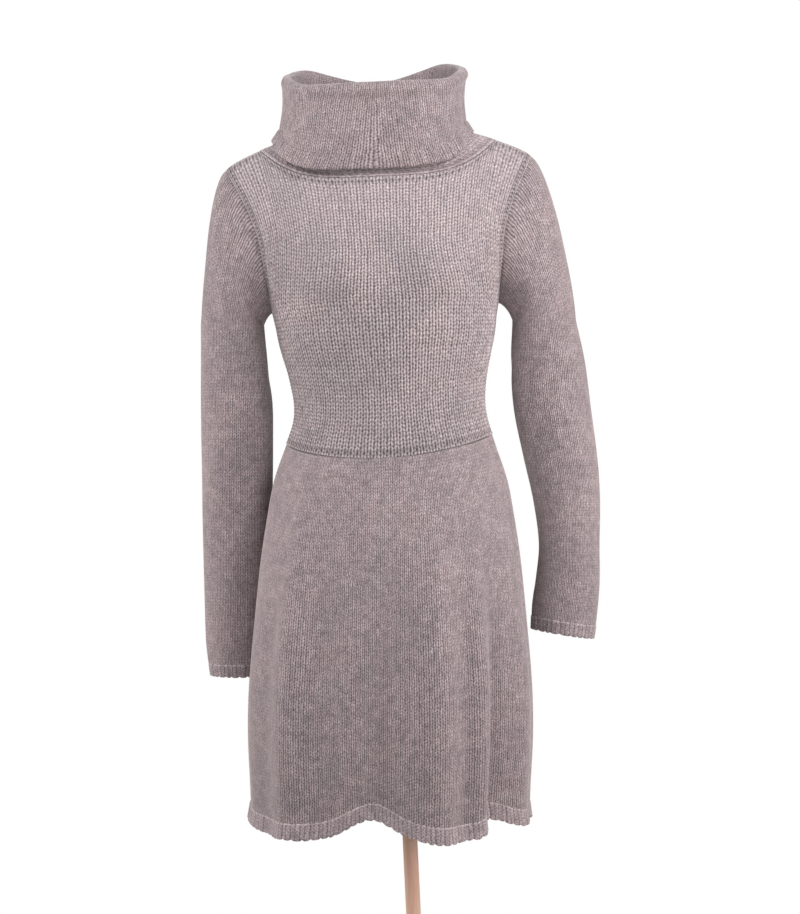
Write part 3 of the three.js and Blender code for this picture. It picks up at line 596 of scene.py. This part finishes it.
def ribbed_band(
    name, material, ribs, rib_depth, length, place_on, fill=0.8, seed=1, wales=None, scallop=0.08
):
    """A ribbed strip round a loop. place_on(turn, row, thickness) gives its points, row 0 being its seam.
    scallop is how far its ribs reach past the gaps at its free edge, as a share of its length."""

    def place(across, along, inner):
        shifted = across + uneven(across, ribs, seed) * 0.26 / ribs
        rib = rib_relief(shifted * ribs, fill)
        stitch = 0.5 + 0.5 * np.cos(2 * math.pi * along * length / BAND_COURSE)
        full = rounding(along, length, 0.75, 0.1)
        tall = 0.7 + 0.3 * uneven(across, ribs, seed + 7)
        raised = rib_depth * full * rib * tall * (0.8 + 0.2 * stitch)
        depth = np.where(inner, 0, 0.5 + (WALL - 0.9) * full + raised)
        low = np.where(along > 0.5, scallop * (rib - 0.5 + 0.5 * uneven(across, ribs // 2, seed + 3)), 0)
        return place_on(across, along + low * smooth(along, 0.5, 1), depth)

    rows = edge_rows(12, length)
    stitches = lambda across, along: (across * (wales or ribs * 2), along * length / BAND_COURSE)
    piece = knitted(name + "_rib", 8 * ribs, rows, np.linspace(1, 0, 5), place, stitches, tube=True)
    piece.data.materials.append(material)
    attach(piece, "root")
    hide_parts(name)
    return piece


def hem_place(turn, row, thickness):
    heading = turn * 360 - 90
    top = band_top_z(heading) - SEAM / 2
    ripple = 1.4 * uneven(turn, 40, 5) * row
    return leaned(skirt_point(heading, mix(top, top - HEM_BAND, row), 3.5 * row + thickness + ripple))


hem_band = ribbed_band("hem_band", edge_rib_wool, HEM_RIBS, 1.5, HEM_BAND, hem_place)


# Sleeves: one plain knitted tube each, set into the armhole with an eased cap, and hanging free down to the
# cuff. The wearer's right one hangs straight and the left one swings a little outwards.
SLEEVE_WALES, SLEEVE_COURSES = 60, {1: 165, -1: 160}  # wearer's left 1, right -1
SLEEVE_LENGTH, SLEEVE_CAP = 600, 0.3
CUFF = 17
CAP_SPRING = {"top": 0.37, "armpit": 1.1, "drop": 0.72}
ARMHOLE_STEPS = np.array([0, 0.18, 0.38, 0.58, 0.76, 0.88, 0.95, 0.985, 1])
SLEEVE_LEFT = [  # height, middle, half the width and depth, sideways slope
    (1156, 146, 3, 40.2, 40, 0), (1105, 151, 7, 46.7, 40, 0), (1045, 157.5, 12, 48.7, 39, 0),
    (985, 168, 17, 46.7, 38, 0), (930, 176, 21, 42.2, 36, 0), (875, 179.5, 25, 38.4, 34, -0.02),
    (830, 178, 28, 40.4, 32, -0.07), (796, 174.5, 30, 41.4, 31, -0.13), (762, 171.5, 31, 39.9, 30, -0.16),
]
SLEEVE_RIGHT = [
    (1150, -243.3, 3, 40, 40, 0), (1100, -241.3, 9, 42.5, 41, 0), (1050, -239.3, 16, 45.3, 40, 0),
    (1000, -239.8, 28, 45.5, 39, 0), (940, -240.8, 44, 45, 38, 0), (870, -241.8, 58, 43.8, 36, 0),
    (800, -242.3, 67, 42.3, 34, 0), (745, -242.1, 72, 41, 33, 0), (704, -241.3, 76, 36.8, 31, 0),
]


def sleeve_point(table, side, turn, z, inset):
    x, y, wide, deep, slope = (measured(table, k)(z) for k in range(1, 6))
    out = side * (wide - inset) * np.cos(turn * 2 * math.pi)
    forward = (deep - inset) * np.sin(turn * 2 * math.pi)
    return points(x + out, y - forward, z + slope * out)


ARMHOLE_INSET = 0.2


def armhole_loop(side, depth):
    """Points round the armhole, from the shoulder down the front to the armpit and up the back."""
    edges = {}
    for facing in (1, -1):
        edge, inward = (
            bodice_point(np.full(len(ARMHOLE_STEPS), side * share), ARMHOLE_STEPS, facing)
            for share in (1 - ARMHOLE_INSET / (BODICE_WIDTH / 2), 0.96)
        )
        edge, inward = (p + figure_normal(p, facing) * depth for p in (edge, inward))
        edge[-1, 1] -= facing * ARMHOLE_INSET
        away = leaned(edge) - leaned(inward)
        away /= np.linalg.norm(away, axis=-1, keepdims=True)
        edges[facing] = leaned(edge) + away * (ARMHOLE_INSET + SEAM)
    down, up = edges[1][::-1], edges[-1]
    shoulder, armpit = (down[0] + up[-1]) / 2, (down[-1] + up[0]) / 2 + (0, 0, 1)
    return np.array([shoulder, *down[1:-1], armpit, *up[1:-1]])


def around_loop(turns, values):
    """A closed curve through points at known shares of a turn."""
    return curve([*(turns[-3:] - 1), *turns, *(turns[:3] + 1)], [*values[-3:], *values, *values[:3]])


SLEEVE_CREASES = [  # turn, share of the length, twist, depth in mm, width in turns, reach in shares
    (0.22, 0.30, 1.6, 2.4, 0.05, 0.09), (0.30, 0.38, 1.3, 2.0, 0.045, 0.08),
    (0.14, 0.50, -0.9, 1.8, 0.06, 0.1), (0.34, 0.56, 0.9, 1.8, 0.05, 0.1),
    (0.20, 0.72, -0.7, 1.6, 0.06, 0.12), (0.62, 0.34, -1.5, 2.2, 0.05, 0.09),
    (0.72, 0.48, 1.0, 1.8, 0.06, 0.1), (0.84, 0.66, -0.8, 1.8, 0.06, 0.12),
    (0.40, 0.23, 0.5, 4.5, 0.045, 0.09), (0.60, 0.23, -0.5, 4.5, 0.045, 0.09),
]


def creased(turn, along):
    """How deep a sleeve's slanting creases are at one place."""
    total = 0
    for at, start, twist, depth, width, reach in SLEEVE_CREASES:
        away = (turn - at - twist * (along - start) + 0.5) % 1 - 0.5
        total = total + depth * np.exp(-((away / width) ** 2) - ((along - start) / reach) ** 2)
    return total


def sleeve(name, table, side):
    inner_loop, outer_loop = armhole_loop(side, 0), armhole_loop(side, WALL)
    heights = inner_loop[:, 2]
    low, high = heights.min(), heights.max()
    half = np.arccos(np.clip(2 * (heights - low) / (high - low) - 1, -1, 1)) / (2 * math.pi)
    turns = np.where(np.arange(len(half)) <= heights.argmin(), half, 1 - half)
    edge_at, outer_at = around_loop(turns, inner_loop), around_loop(turns, outer_loop)
    top_z, end_z = table[0][0], table[-1][0] + CUFF + SEAM / 2

    def inside(turn, along):
        start, end = edge_at(turn), sleeve_point(table, side, turn, np.full_like(turn, top_z), WALL)
        span = np.linalg.norm(end - start, axis=-1)
        height = (1 + np.cos(turn * 2 * math.pi)) / 2
        spring = mix(CAP_SPRING["top"], CAP_SPRING["armpit"], (1 - height) ** 2) * span
        leave = points(side * 0.9 * spring, 0, mix(-0.1, -0.55, height) * spring)
        arrive = points(side * 0.06, 0, -1) * (CAP_SPRING["drop"] * span)[:, None]
        u = np.clip(along / SLEEVE_CAP, 0, 1)[:, None]
        cap = (
            (2 * u**3 - 3 * u**2 + 1) * start + (u**3 - 2 * u**2 + u) * leave
            + (3 * u**2 - 2 * u**3) * end + (u**3 - u**2) * arrive
        )
        z = mix(top_z, end_z, np.clip((along - SLEEVE_CAP) / (1 - SLEEVE_CAP), 0, 1))
        return np.where((along < SLEEVE_CAP)[:, None], cap, sleeve_point(table, side, turn, z, WALL))

    def place(across, along, inner):
        here = inside(across, along)
        around = inside((across + 0.004) % 1, along) - inside((across - 0.004) % 1, along)
        down = inside(across, np.minimum(along + 0.004, 1)) - inside(across, np.maximum(along - 0.004, 0))
        out = side * np.cross(around, down)
        out /= np.linalg.norm(out, axis=-1, keepdims=True)
        seam_out = outer_at(across) - edge_at(across)
        seam_out /= np.linalg.norm(seam_out, axis=-1, keepdims=True)
        out = mix(seam_out, out, smooth(along, 0, 0.035)[:, None])
        full = rounding(along, SLEEVE_LENGTH, 0.7, 0.85)
        wale = knit_relief(across * SLEEVE_WALES, 0, 0, 0.1) * full
        depth = np.where(inner, 0, 0.7 + (WALL - 1.0) * full + 0.2 * wale) - creased(across, along)
        return here + out * depth[:, None]

    stitches = lambda across, along: (across * SLEEVE_WALES, -along * SLEEVE_COURSES[side])
    rows = edge_rows(150, SLEEVE_LENGTH)
    piece = knitted(name + "_knit", 4 * SLEEVE_WALES, rows, np.linspace(1, 0, 40), place, stitches, tube=True)
    piece.data.materials.append(plain_wool)
    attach(piece, "root")
    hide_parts(name)


sleeve("sleeve_left", SLEEVE_LEFT, 1)
sleeve("sleeve_right", SLEEVE_RIGHT, -1)


# Cuffs: a short ribbed strip linked round the end of each sleeve. Its ribs are as uneven as the hem
# band's and its free edge is open.
CUFF_RIBS = 22


def cuff(name, table, side, seed):
    bottom = table[-1][0]

    def place_on(turn, row, thickness):
        z = mix(bottom + CUFF - SEAM / 2, bottom, row)
        return sleeve_point(table, side, turn, z, WALL - thickness)

    piece = ribbed_band(name, edge_rib_wool, CUFF_RIBS, 1.3, CUFF, place_on, seed=seed)


cuff("cuff_left", SLEEVE_LEFT, 1, 21)
cuff("cuff_right", SLEEVE_RIGHT, -1, 22)


# Neck band: a narrow knitted strip linked to the neckline, which carries the collar. Its stitches run round
# the neck, and only its outer part shows.
COLLAR_SEAM = {"x": 107, 1: 1345, "side": 1385, -1: 1389}
COLLAR_START = 0.85
NECK_BAND = 20
CHAIN_ROWS, CHAIN_LOOPS = 8, 96
chain_wool = knit_material(
    "chain_wool", (0.46, 0.388, 0.40), (0.2, 0.163, 0.17), slant=0.5, dip=0.3, loop=0.4, depth=0.5,
    dots=0.7, narrow=4, fleece=0.8, pile=0.35, open_rows=(("X", 1.3), ("X", 6.6)),
)


def neck_point(heading, share):
    turn = turn_from(heading, 0)
    facing = np.where(np.abs(turn) <= 90, 1, -1)
    aside = np.sin(np.radians(turn))
    seam = neckline_z(np.where(facing > 0, NECKLINE_Z[1], NECKLINE_Z[-1]), NECK_POINT_Z, aside)
    inner = neckline_z(np.where(facing > 0, COLLAR_SEAM[1], COLLAR_SEAM[-1]), COLLAR_SEAM["side"], aside)
    place = figure_point(mix(NECK_POINT_X, COLLAR_SEAM["x"], share) * aside, mix(seam, inner, share), facing)
    return place, figure_normal(place, facing)


def neck_place(across, along, inner):
    where, out = neck_point(across * 360, mix(0.02, 1, along))
    full = rounding(along, NECK_BAND, 0.7, 0.7)
    chain = knit_relief(along * CHAIN_ROWS, across * CHAIN_LOOPS, 0.5, 0.3) * full
    depth = np.where(inner, 0, 0.6 + (WALL - 1.0) * full + 0.7 * chain)
    return leaned(where + out * depth[:, None])


chains = lambda across, along: (along * CHAIN_ROWS, across * CHAIN_LOOPS)
neck_rows = edge_rows(40, NECK_BAND)
neck_band = knitted(
    "neck_band_knit", 6 * CHAIN_LOOPS, neck_rows, np.linspace(1, 0, 4), neck_place, chains, tube=True
)
neck_band.data.materials.append(chain_wool)
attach(neck_band, "root")
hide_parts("neck_band")


# Collar: a wide plain knitted tube that stands up from the neck band and is turned down outside over itself.
# Its rim is low in front and high behind.
COLLAR_WALES, COLLAR_COURSES = 128, 55
COLLAR_SWAY = -6
COLLAR_FULLNESS = 2.5
# Outside or not, share of the way up to the fold, height above that, half the width, reach in front, behind.
COLLAR_PATH = [
    (0, 0.3, 0, 103, 83, 80), (0, 0.65, 0, 102, 89, 86), (0, 1, -9, 101.5, 91, 88),
    (0, 1, -2.5, 104, 93.5, 90.5), (0, 1, 0, 108.5, 97.5, 94.5), (1, 1, -2.5, 113, 101.5, 98.5),
    (1, 1, -9, 115.6, 104, 101), (1, 0.78, 0, 113.5, 97.5, 98.5), (1, 0.5, 0, 112.5, 98.5, 99.5),
    (1, 0.17, 0, 115.5, 96, 101),
]
COLLAR_RIM = curve(
    [0, 30, 50, 68, 90, 112, 132, 150, 180], [1436, 1437.5, 1442, 1453, 1467, 1478, 1484, 1480, 1467]
)
COLLAR_DROP = curve(
    [0, 20, 40, 60, 75, 90, 120, 150, 180], [1333, 1336, 1344, 1359, 1375, 1384.5, 1388, 1378, 1372]
)
COLLAR_CREASES = [(284, 6, 5), (77, 4, 5)]  # heading, depth, spread in degrees


def collar_point(row, heading):
    outside, share, above, wide, front, back = row
    away = np.abs(turn_from(heading, 0))
    start = COLLAR_DROP(away) if outside else neck_point(heading, 1)[0][..., 2]
    side, forward = np.sin(np.radians(heading)), np.cos(np.radians(heading))
    power = 2 / (COLLAR_FULLNESS + (1 - share) * outside)
    creases = sum(c[1] * near_fold(heading, c) for c in COLLAR_CREASES)
    pinched = creases * 4 * share * (1 - share) * outside
    x = (wide - pinched) * np.sign(side) * np.abs(side) ** power
    y = -(np.where(forward > 0, front, back) - pinched) * np.sign(forward) * np.abs(forward) ** power
    return points(x + COLLAR_SWAY * (1 - share) * outside, y, mix(start, COLLAR_RIM(away), share) + above)


def collar_base(heading):
    """Where the collar starts, just outside the neck band."""
    where, out = neck_point(heading, COLLAR_START)
    clear = WALL + 0.6 + WALL / 2 * np.hypot(out[..., 0], out[..., 1]) + 0.7 * out[..., 2]
    return where + out * clear[..., None]


COLLAR_LENGTHS = [0, 12, 42, 68, 76, 82, 88, 95, 113, 138, 165]  # roughly, along the path in mm
HEADINGS = np.linspace(0, 360, 721)  # two for each degree


def collar_heading(across):
    """Headings that part the collar's girth evenly."""
    girth = collar_point(COLLAR_PATH[7], HEADINGS)
    steps = np.linalg.norm(np.diff(girth[:, :2], axis=0), axis=1)
    return np.interp(across % 1, np.append(0, np.cumsum(steps)) / steps.sum(), HEADINGS)


def collar_middle(across, along):
    """Points half-way through the collar's wall, from its start inside to its lower edge outside."""
    heading = collar_heading(across)
    knots = np.array([collar_base(HEADINGS), *(collar_point(row, HEADINGS) for row in COLLAR_PATH)])
    at = curve(COLLAR_LENGTHS, knots)
    i = np.minimum((heading * 2).astype(int), len(HEADINGS) - 2)
    part = (heading * 2 - i)[:, None]
    rows, index = np.unique(along, return_inverse=True)
    lines = at(rows * COLLAR_LENGTHS[-1])
    return mix(lines[index, i], lines[index, i + 1], part)


def collar_place(across, along, inner):
    around = collar_middle(across + 0.002, along) - collar_middle(across - 0.002, along)
    further, nearer = np.minimum(along + 0.004, 1), np.maximum(along - 0.004, 0)
    run = collar_middle(across, further) - collar_middle(across, nearer)
    out = np.cross(run, around)
    out /= np.linalg.norm(out, axis=-1, keepdims=True)
    full = rounding(along, COLLAR_LENGTHS[-1], 0.5, 0.8)
    depth = np.where(inner, -0.5 * WALL, -0.4 + (0.5 * WALL + 0.3) * full)
    return leaned(collar_middle(across, along) + out * depth[:, None])


collar_stitches = lambda across, along: (across * COLLAR_WALES, along * COLLAR_COURSES)
collar_rows = edge_rows(64, COLLAR_LENGTHS[-1])
collar = knitted(
    "collar_knit", 4 * COLLAR_WALES, collar_rows, np.linspace(1, 0, 30), collar_place, collar_stitches,
    tube=True,
)
collar.data.materials.append(plain_wool)
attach(collar, "root")
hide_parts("collar")


# Collar edge: an open 2x2 rib with wide gaps, knitted in the collar's yarn.
# It is linked to the collar's lower edge and hangs free over the shoulders.
COLLAR_RIBS = 54
COLLAR_EDGE = (124.5, 93, 102)  # half the width, reach in front and behind
COLLAR_FLARE = 0.35


def collar_edge_place(turn, row, thickness):
    last = COLLAR_PATH[-1]
    sizes = [mix(last[3 + k], COLLAR_EDGE[k], row) + thickness - WALL / 2 for k in range(3)]
    share = mix(last[1], 0, row)
    where = collar_point((1, share, 0, *sizes), collar_heading(turn))
    where[..., 2] += COLLAR_FLARE * (thickness - WALL / 2) - SEAM * (1 - row)
    return leaned(where)


collar_edge = ribbed_band(
    "collar_edge", plain_wool, COLLAR_RIBS, 1.8, 16, collar_edge_place,
    fill=0.45, seed=31, wales=COLLAR_WALES, scallop=0.05,
)


# Dress form: a padded torso without neck, arms or legs, covered in smooth off-white jersey.
# It fills the bodice and stands on the pole.
FORM_BOTTOM_Z, FORM_TOP_Z = 836, 1417
FORM_INSET = curve(
    [836, 848, 880, 930, 1000, 1173, 1300, 1335, 1350, 1371, 1418], [62, 40, 20, 10, 6, 6, 6.5, 6.5, 5, 4, 3]
)
FORM_HEIGHTS = np.concatenate(
    [np.linspace(FORM_BOTTOM_Z, 850, 10), np.linspace(855, 1410, 75), np.linspace(1411, FORM_TOP_Z, 8)]
)
FORM_COLUMNS = 96


def form_rings():
    """Level rings round the form, drawn in at both ends to round its edges."""
    heading = np.linspace(0, 360, FORM_COLUMNS, endpoint=False)
    facing = np.where(np.cos(np.radians(heading)) >= 0, 1, -1)
    for z in FORM_HEIGHTS:
        bottom = 8 * max(0, 1 - (z - FORM_BOTTOM_Z) / 2) ** 2
        inset = FORM_INSET(z) + bottom + 3 * max(0, (z - 1411) / 6) ** 2
        level = np.full(FORM_COLUMNS, float(z))
        x = (half_width(level) - inset) * np.sin(np.radians(heading))
        yield leaned(figure_point(x, level, facing, inset), hangs=False)


bm = bmesh.new()
bmesh.ops.create_grid(bm, x_segments=FORM_COLUMNS, y_segments=len(FORM_HEIGHTS) - 1, size=1)
rings = list(form_rings())
for vert in bm.verts:
    column = round((vert.co.x + 1) / 2 * FORM_COLUMNS) % FORM_COLUMNS
    ring = round((vert.co.y + 1) / 2 * (len(FORM_HEIGHTS) - 1))
    vert.co = Vector(rings[ring][column]) * MM
bmesh.ops.remove_doubles(bm, verts=bm.verts, dist=1e-6)
ends = [edge for edge in bm.edges if edge.is_boundary]
bmesh.ops.holes_fill(bm, edges=ends, sides=0)
caps = [face for face in bm.faces if len(face.verts) > 4]
bmesh.ops.inset_region(bm, faces=caps, thickness=0.004, depth=0.0005)
bmesh.ops.poke(bm, faces=[face for face in bm.faces if len(face.verts) > 4])
bmesh.ops.recalc_face_normals(bm, faces=bm.faces)
for face in bm.faces:
    face.smooth = True
form_mesh = bpy.data.meshes.new("dress_form")
bm.to_mesh(form_mesh)
bm.free()
dress_form = bpy.data.objects.new("dress_form", form_mesh)
bpy.context.collection.objects.link(dress_form)

jersey = bpy.data.materials.new("jersey")
jersey.use_nodes = True
nodes, links = jersey.node_tree.nodes, jersey.node_tree.links
where = nodes.new("ShaderNodeTexCoord")
threads = nodes.new("ShaderNodeTexWave")
threads.bands_direction = "X"
threads.inputs["Scale"].default_value = 260
threads.inputs["Distortion"].default_value = 1.2
threads.inputs["Detail Scale"].default_value = 6
links.new(where.outputs["Object"], threads.inputs["Vector"])
mottle = nodes.new("ShaderNodeTexNoise")
mottle.inputs["Scale"].default_value = 45
mottle.inputs["Detail"].default_value = 4
links.new(where.outputs["Object"], mottle.inputs["Vector"])
shade = nodes.new("ShaderNodeValToRGB")
shade.color_ramp.elements[0].position = 0.3
shade.color_ramp.elements[0].color = (0.68, 0.64, 0.58, 1)
shade.color_ramp.elements[1].position = 0.75
shade.color_ramp.elements[1].color = (0.76, 0.73, 0.68, 1)
links.new(mottle.outputs["Fac"], shade.inputs["Fac"])
links.new(shade.outputs["Color"], nodes["Principled BSDF"].inputs["Base Color"])
nodes["Principled BSDF"].inputs["Roughness"].default_value = 0.9
nodes["Principled BSDF"].inputs["Sheen Weight"].default_value = 0.15
weave = nodes.new("ShaderNodeBump")
weave.inputs["Strength"].default_value = 0.4
weave.inputs["Distance"].default_value = 0.0003
links.new(threads.outputs["Color"], weave.inputs["Height"])
links.new(weave.outputs["Normal"], nodes["Principled BSDF"].inputs["Normal"])
form_mesh.materials.append(jersey)
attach(dress_form, "root")
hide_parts("torso_form")


# Stand: a turned wooden pole that leans in its socket on a round base. All three are pale beech with a
# satin varnish.
BASE_RADIUS, BASE_HEIGHT = 180, 22
POLE_RADIUS = 9.2


def turned(profile, steps=96):
    """A profile of (radius, height) turned about the upright axis."""
    bm = bmesh.new()
    verts = [bm.verts.new((radius * MM, 0, height * MM)) for radius, height in profile]
    edges = [bm.edges.new(pair) for pair in zip(verts, verts[1:])]
    bmesh.ops.spin(
        bm, geom=verts + edges, cent=(0, 0, 0), axis=(0, 0, 1), angle=2 * math.pi, steps=steps, use_merge=True
    )
    bmesh.ops.remove_doubles(bm, verts=bm.verts, dist=1e-6)
    bmesh.ops.recalc_face_normals(bm, faces=bm.faces)
    for face in bm.faces:
        face.smooth = True
    return bm


def wooden(name, bm, material):
    mesh = bpy.data.meshes.new(name)
    bm.to_mesh(mesh)
    bm.free()
    piece = bpy.data.objects.new(name, mesh)
    bpy.context.collection.objects.link(piece)
    mesh.materials.append(material)
    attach(piece, "root")
    return piece


def wood_material(name, stretch):
    """Pale varnished beech. stretch squeezes the grain's pattern across it."""
    material = bpy.data.materials.new(name)
    material.use_nodes = True
    nodes, links = material.node_tree.nodes, material.node_tree.links
    where = nodes.new("ShaderNodeTexCoord")
    laid = nodes.new("ShaderNodeMapping")
    laid.inputs["Scale"].default_value = stretch
    links.new(where.outputs["Object"], laid.inputs["Vector"])
    rings = nodes.new("ShaderNodeTexNoise")
    rings.inputs["Scale"].default_value = 6
    rings.inputs["Detail"].default_value = 5
    rings.inputs["Distortion"].default_value = 0.6
    links.new(laid.outputs["Vector"], rings.inputs["Vector"])
    rays = nodes.new("ShaderNodeTexNoise")
    rays.inputs["Scale"].default_value = 42
    rays.inputs["Detail"].default_value = 3
    links.new(laid.outputs["Vector"], rays.inputs["Vector"])
    tone = nodes.new("ShaderNodeValToRGB")
    tone.color_ramp.elements[0].position = 0.32
    tone.color_ramp.elements[0].color = (0.50, 0.30, 0.21, 1)
    tone.color_ramp.elements[1].position = 0.7
    tone.color_ramp.elements[1].color = (0.70, 0.46, 0.35, 1)
    links.new(rings.outputs["Fac"], tone.inputs["Fac"])
    fine = nodes.new("ShaderNodeMix")
    fine.data_type = "RGBA"
    fine.blend_type = "MULTIPLY"
    fine.inputs[0].default_value = 0.35
    links.new(tone.outputs["Color"], fine.inputs[6])
    links.new(rays.outputs["Color"], fine.inputs[7])
    links.new(fine.outputs[2], nodes["Principled BSDF"].inputs["Base Color"])
    gloss = nodes.new("ShaderNodeMapRange")
    gloss.inputs["To Min"].default_value = 0.38
    gloss.inputs["To Max"].default_value = 0.55
    links.new(rays.outputs["Fac"], gloss.inputs["Value"])
    links.new(gloss.outputs["Result"], nodes["Principled BSDF"].inputs["Roughness"])
    pores = nodes.new("ShaderNodeBump")
    pores.inputs["Strength"].default_value = 0.25
    pores.inputs["Distance"].default_value = 0.0002
    links.new(rays.outputs["Fac"], pores.inputs["Height"])
    links.new(pores.outputs["Normal"], nodes["Principled BSDF"].inputs["Normal"])
    return material


upright_grain = wood_material("upright_grain", (9, 9, 0.6))
flat_grain = wood_material("flat_grain", (0.7, 7, 7))

corner = [math.radians(a) for a in range(0, 91, 15)]
rounded = [(5 * math.cos(a) + BASE_RADIUS - 5, 5 * math.sin(a) + BASE_HEIGHT - 5) for a in corner]
foot_edge = [(BASE_RADIUS - 1.2, 0), (BASE_RADIUS - 0.3, 0.5), (BASE_RADIUS, 1.5)]
base_profile = [(0, 0), *foot_edge, *rounded, (60, BASE_HEIGHT), (0, BASE_HEIGHT)]
base = wooden("base", turned(base_profile), flat_grain)
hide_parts("base_disc")

socket_profile = [
    (11.4, 22.3), (27.2, 22.3), (28, 23), (27.9, 24.6), (26.6, 27), (25, 29.6), (24, 32.3), (23.2, 40),
    (22.2, 50), (21.2, 64), (20.4, 66.4), (18.8, 67.3), (13, 67.3), (11.8, 66.8), (11.4, 65.8), (11.4, 22.3),
]
socket = wooden("socket", turned(socket_profile), upright_grain)
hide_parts("pole_socket")

pole_foot, pole_head = (leaned(points(0.0, 0.0, z), hangs=False) * MM for z in (23.0, FORM_BOTTOM_Z - 0.3))
pole_length = float(np.linalg.norm(pole_head - pole_foot)) / MM
pole_profile = [
    (0, 0), (8.4, 0), (POLE_RADIUS, 0.8), *((POLE_RADIUS, h) for h in np.linspace(20, pole_length - 20, 12)),
    (POLE_RADIUS, pole_length - 0.8), (8.4, pole_length), (0, pole_length),
]
bm = turned(pole_profile, 48)
lean = Vector(pole_head - pole_foot).to_track_quat("Z", "Y").to_matrix().to_4x4()
bmesh.ops.transform(bm, matrix=Matrix.Translation(Vector(pole_foot)) @ lean, verts=bm.verts)
pole = wooden("turned_pole", bm, upright_grain)
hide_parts("pole")
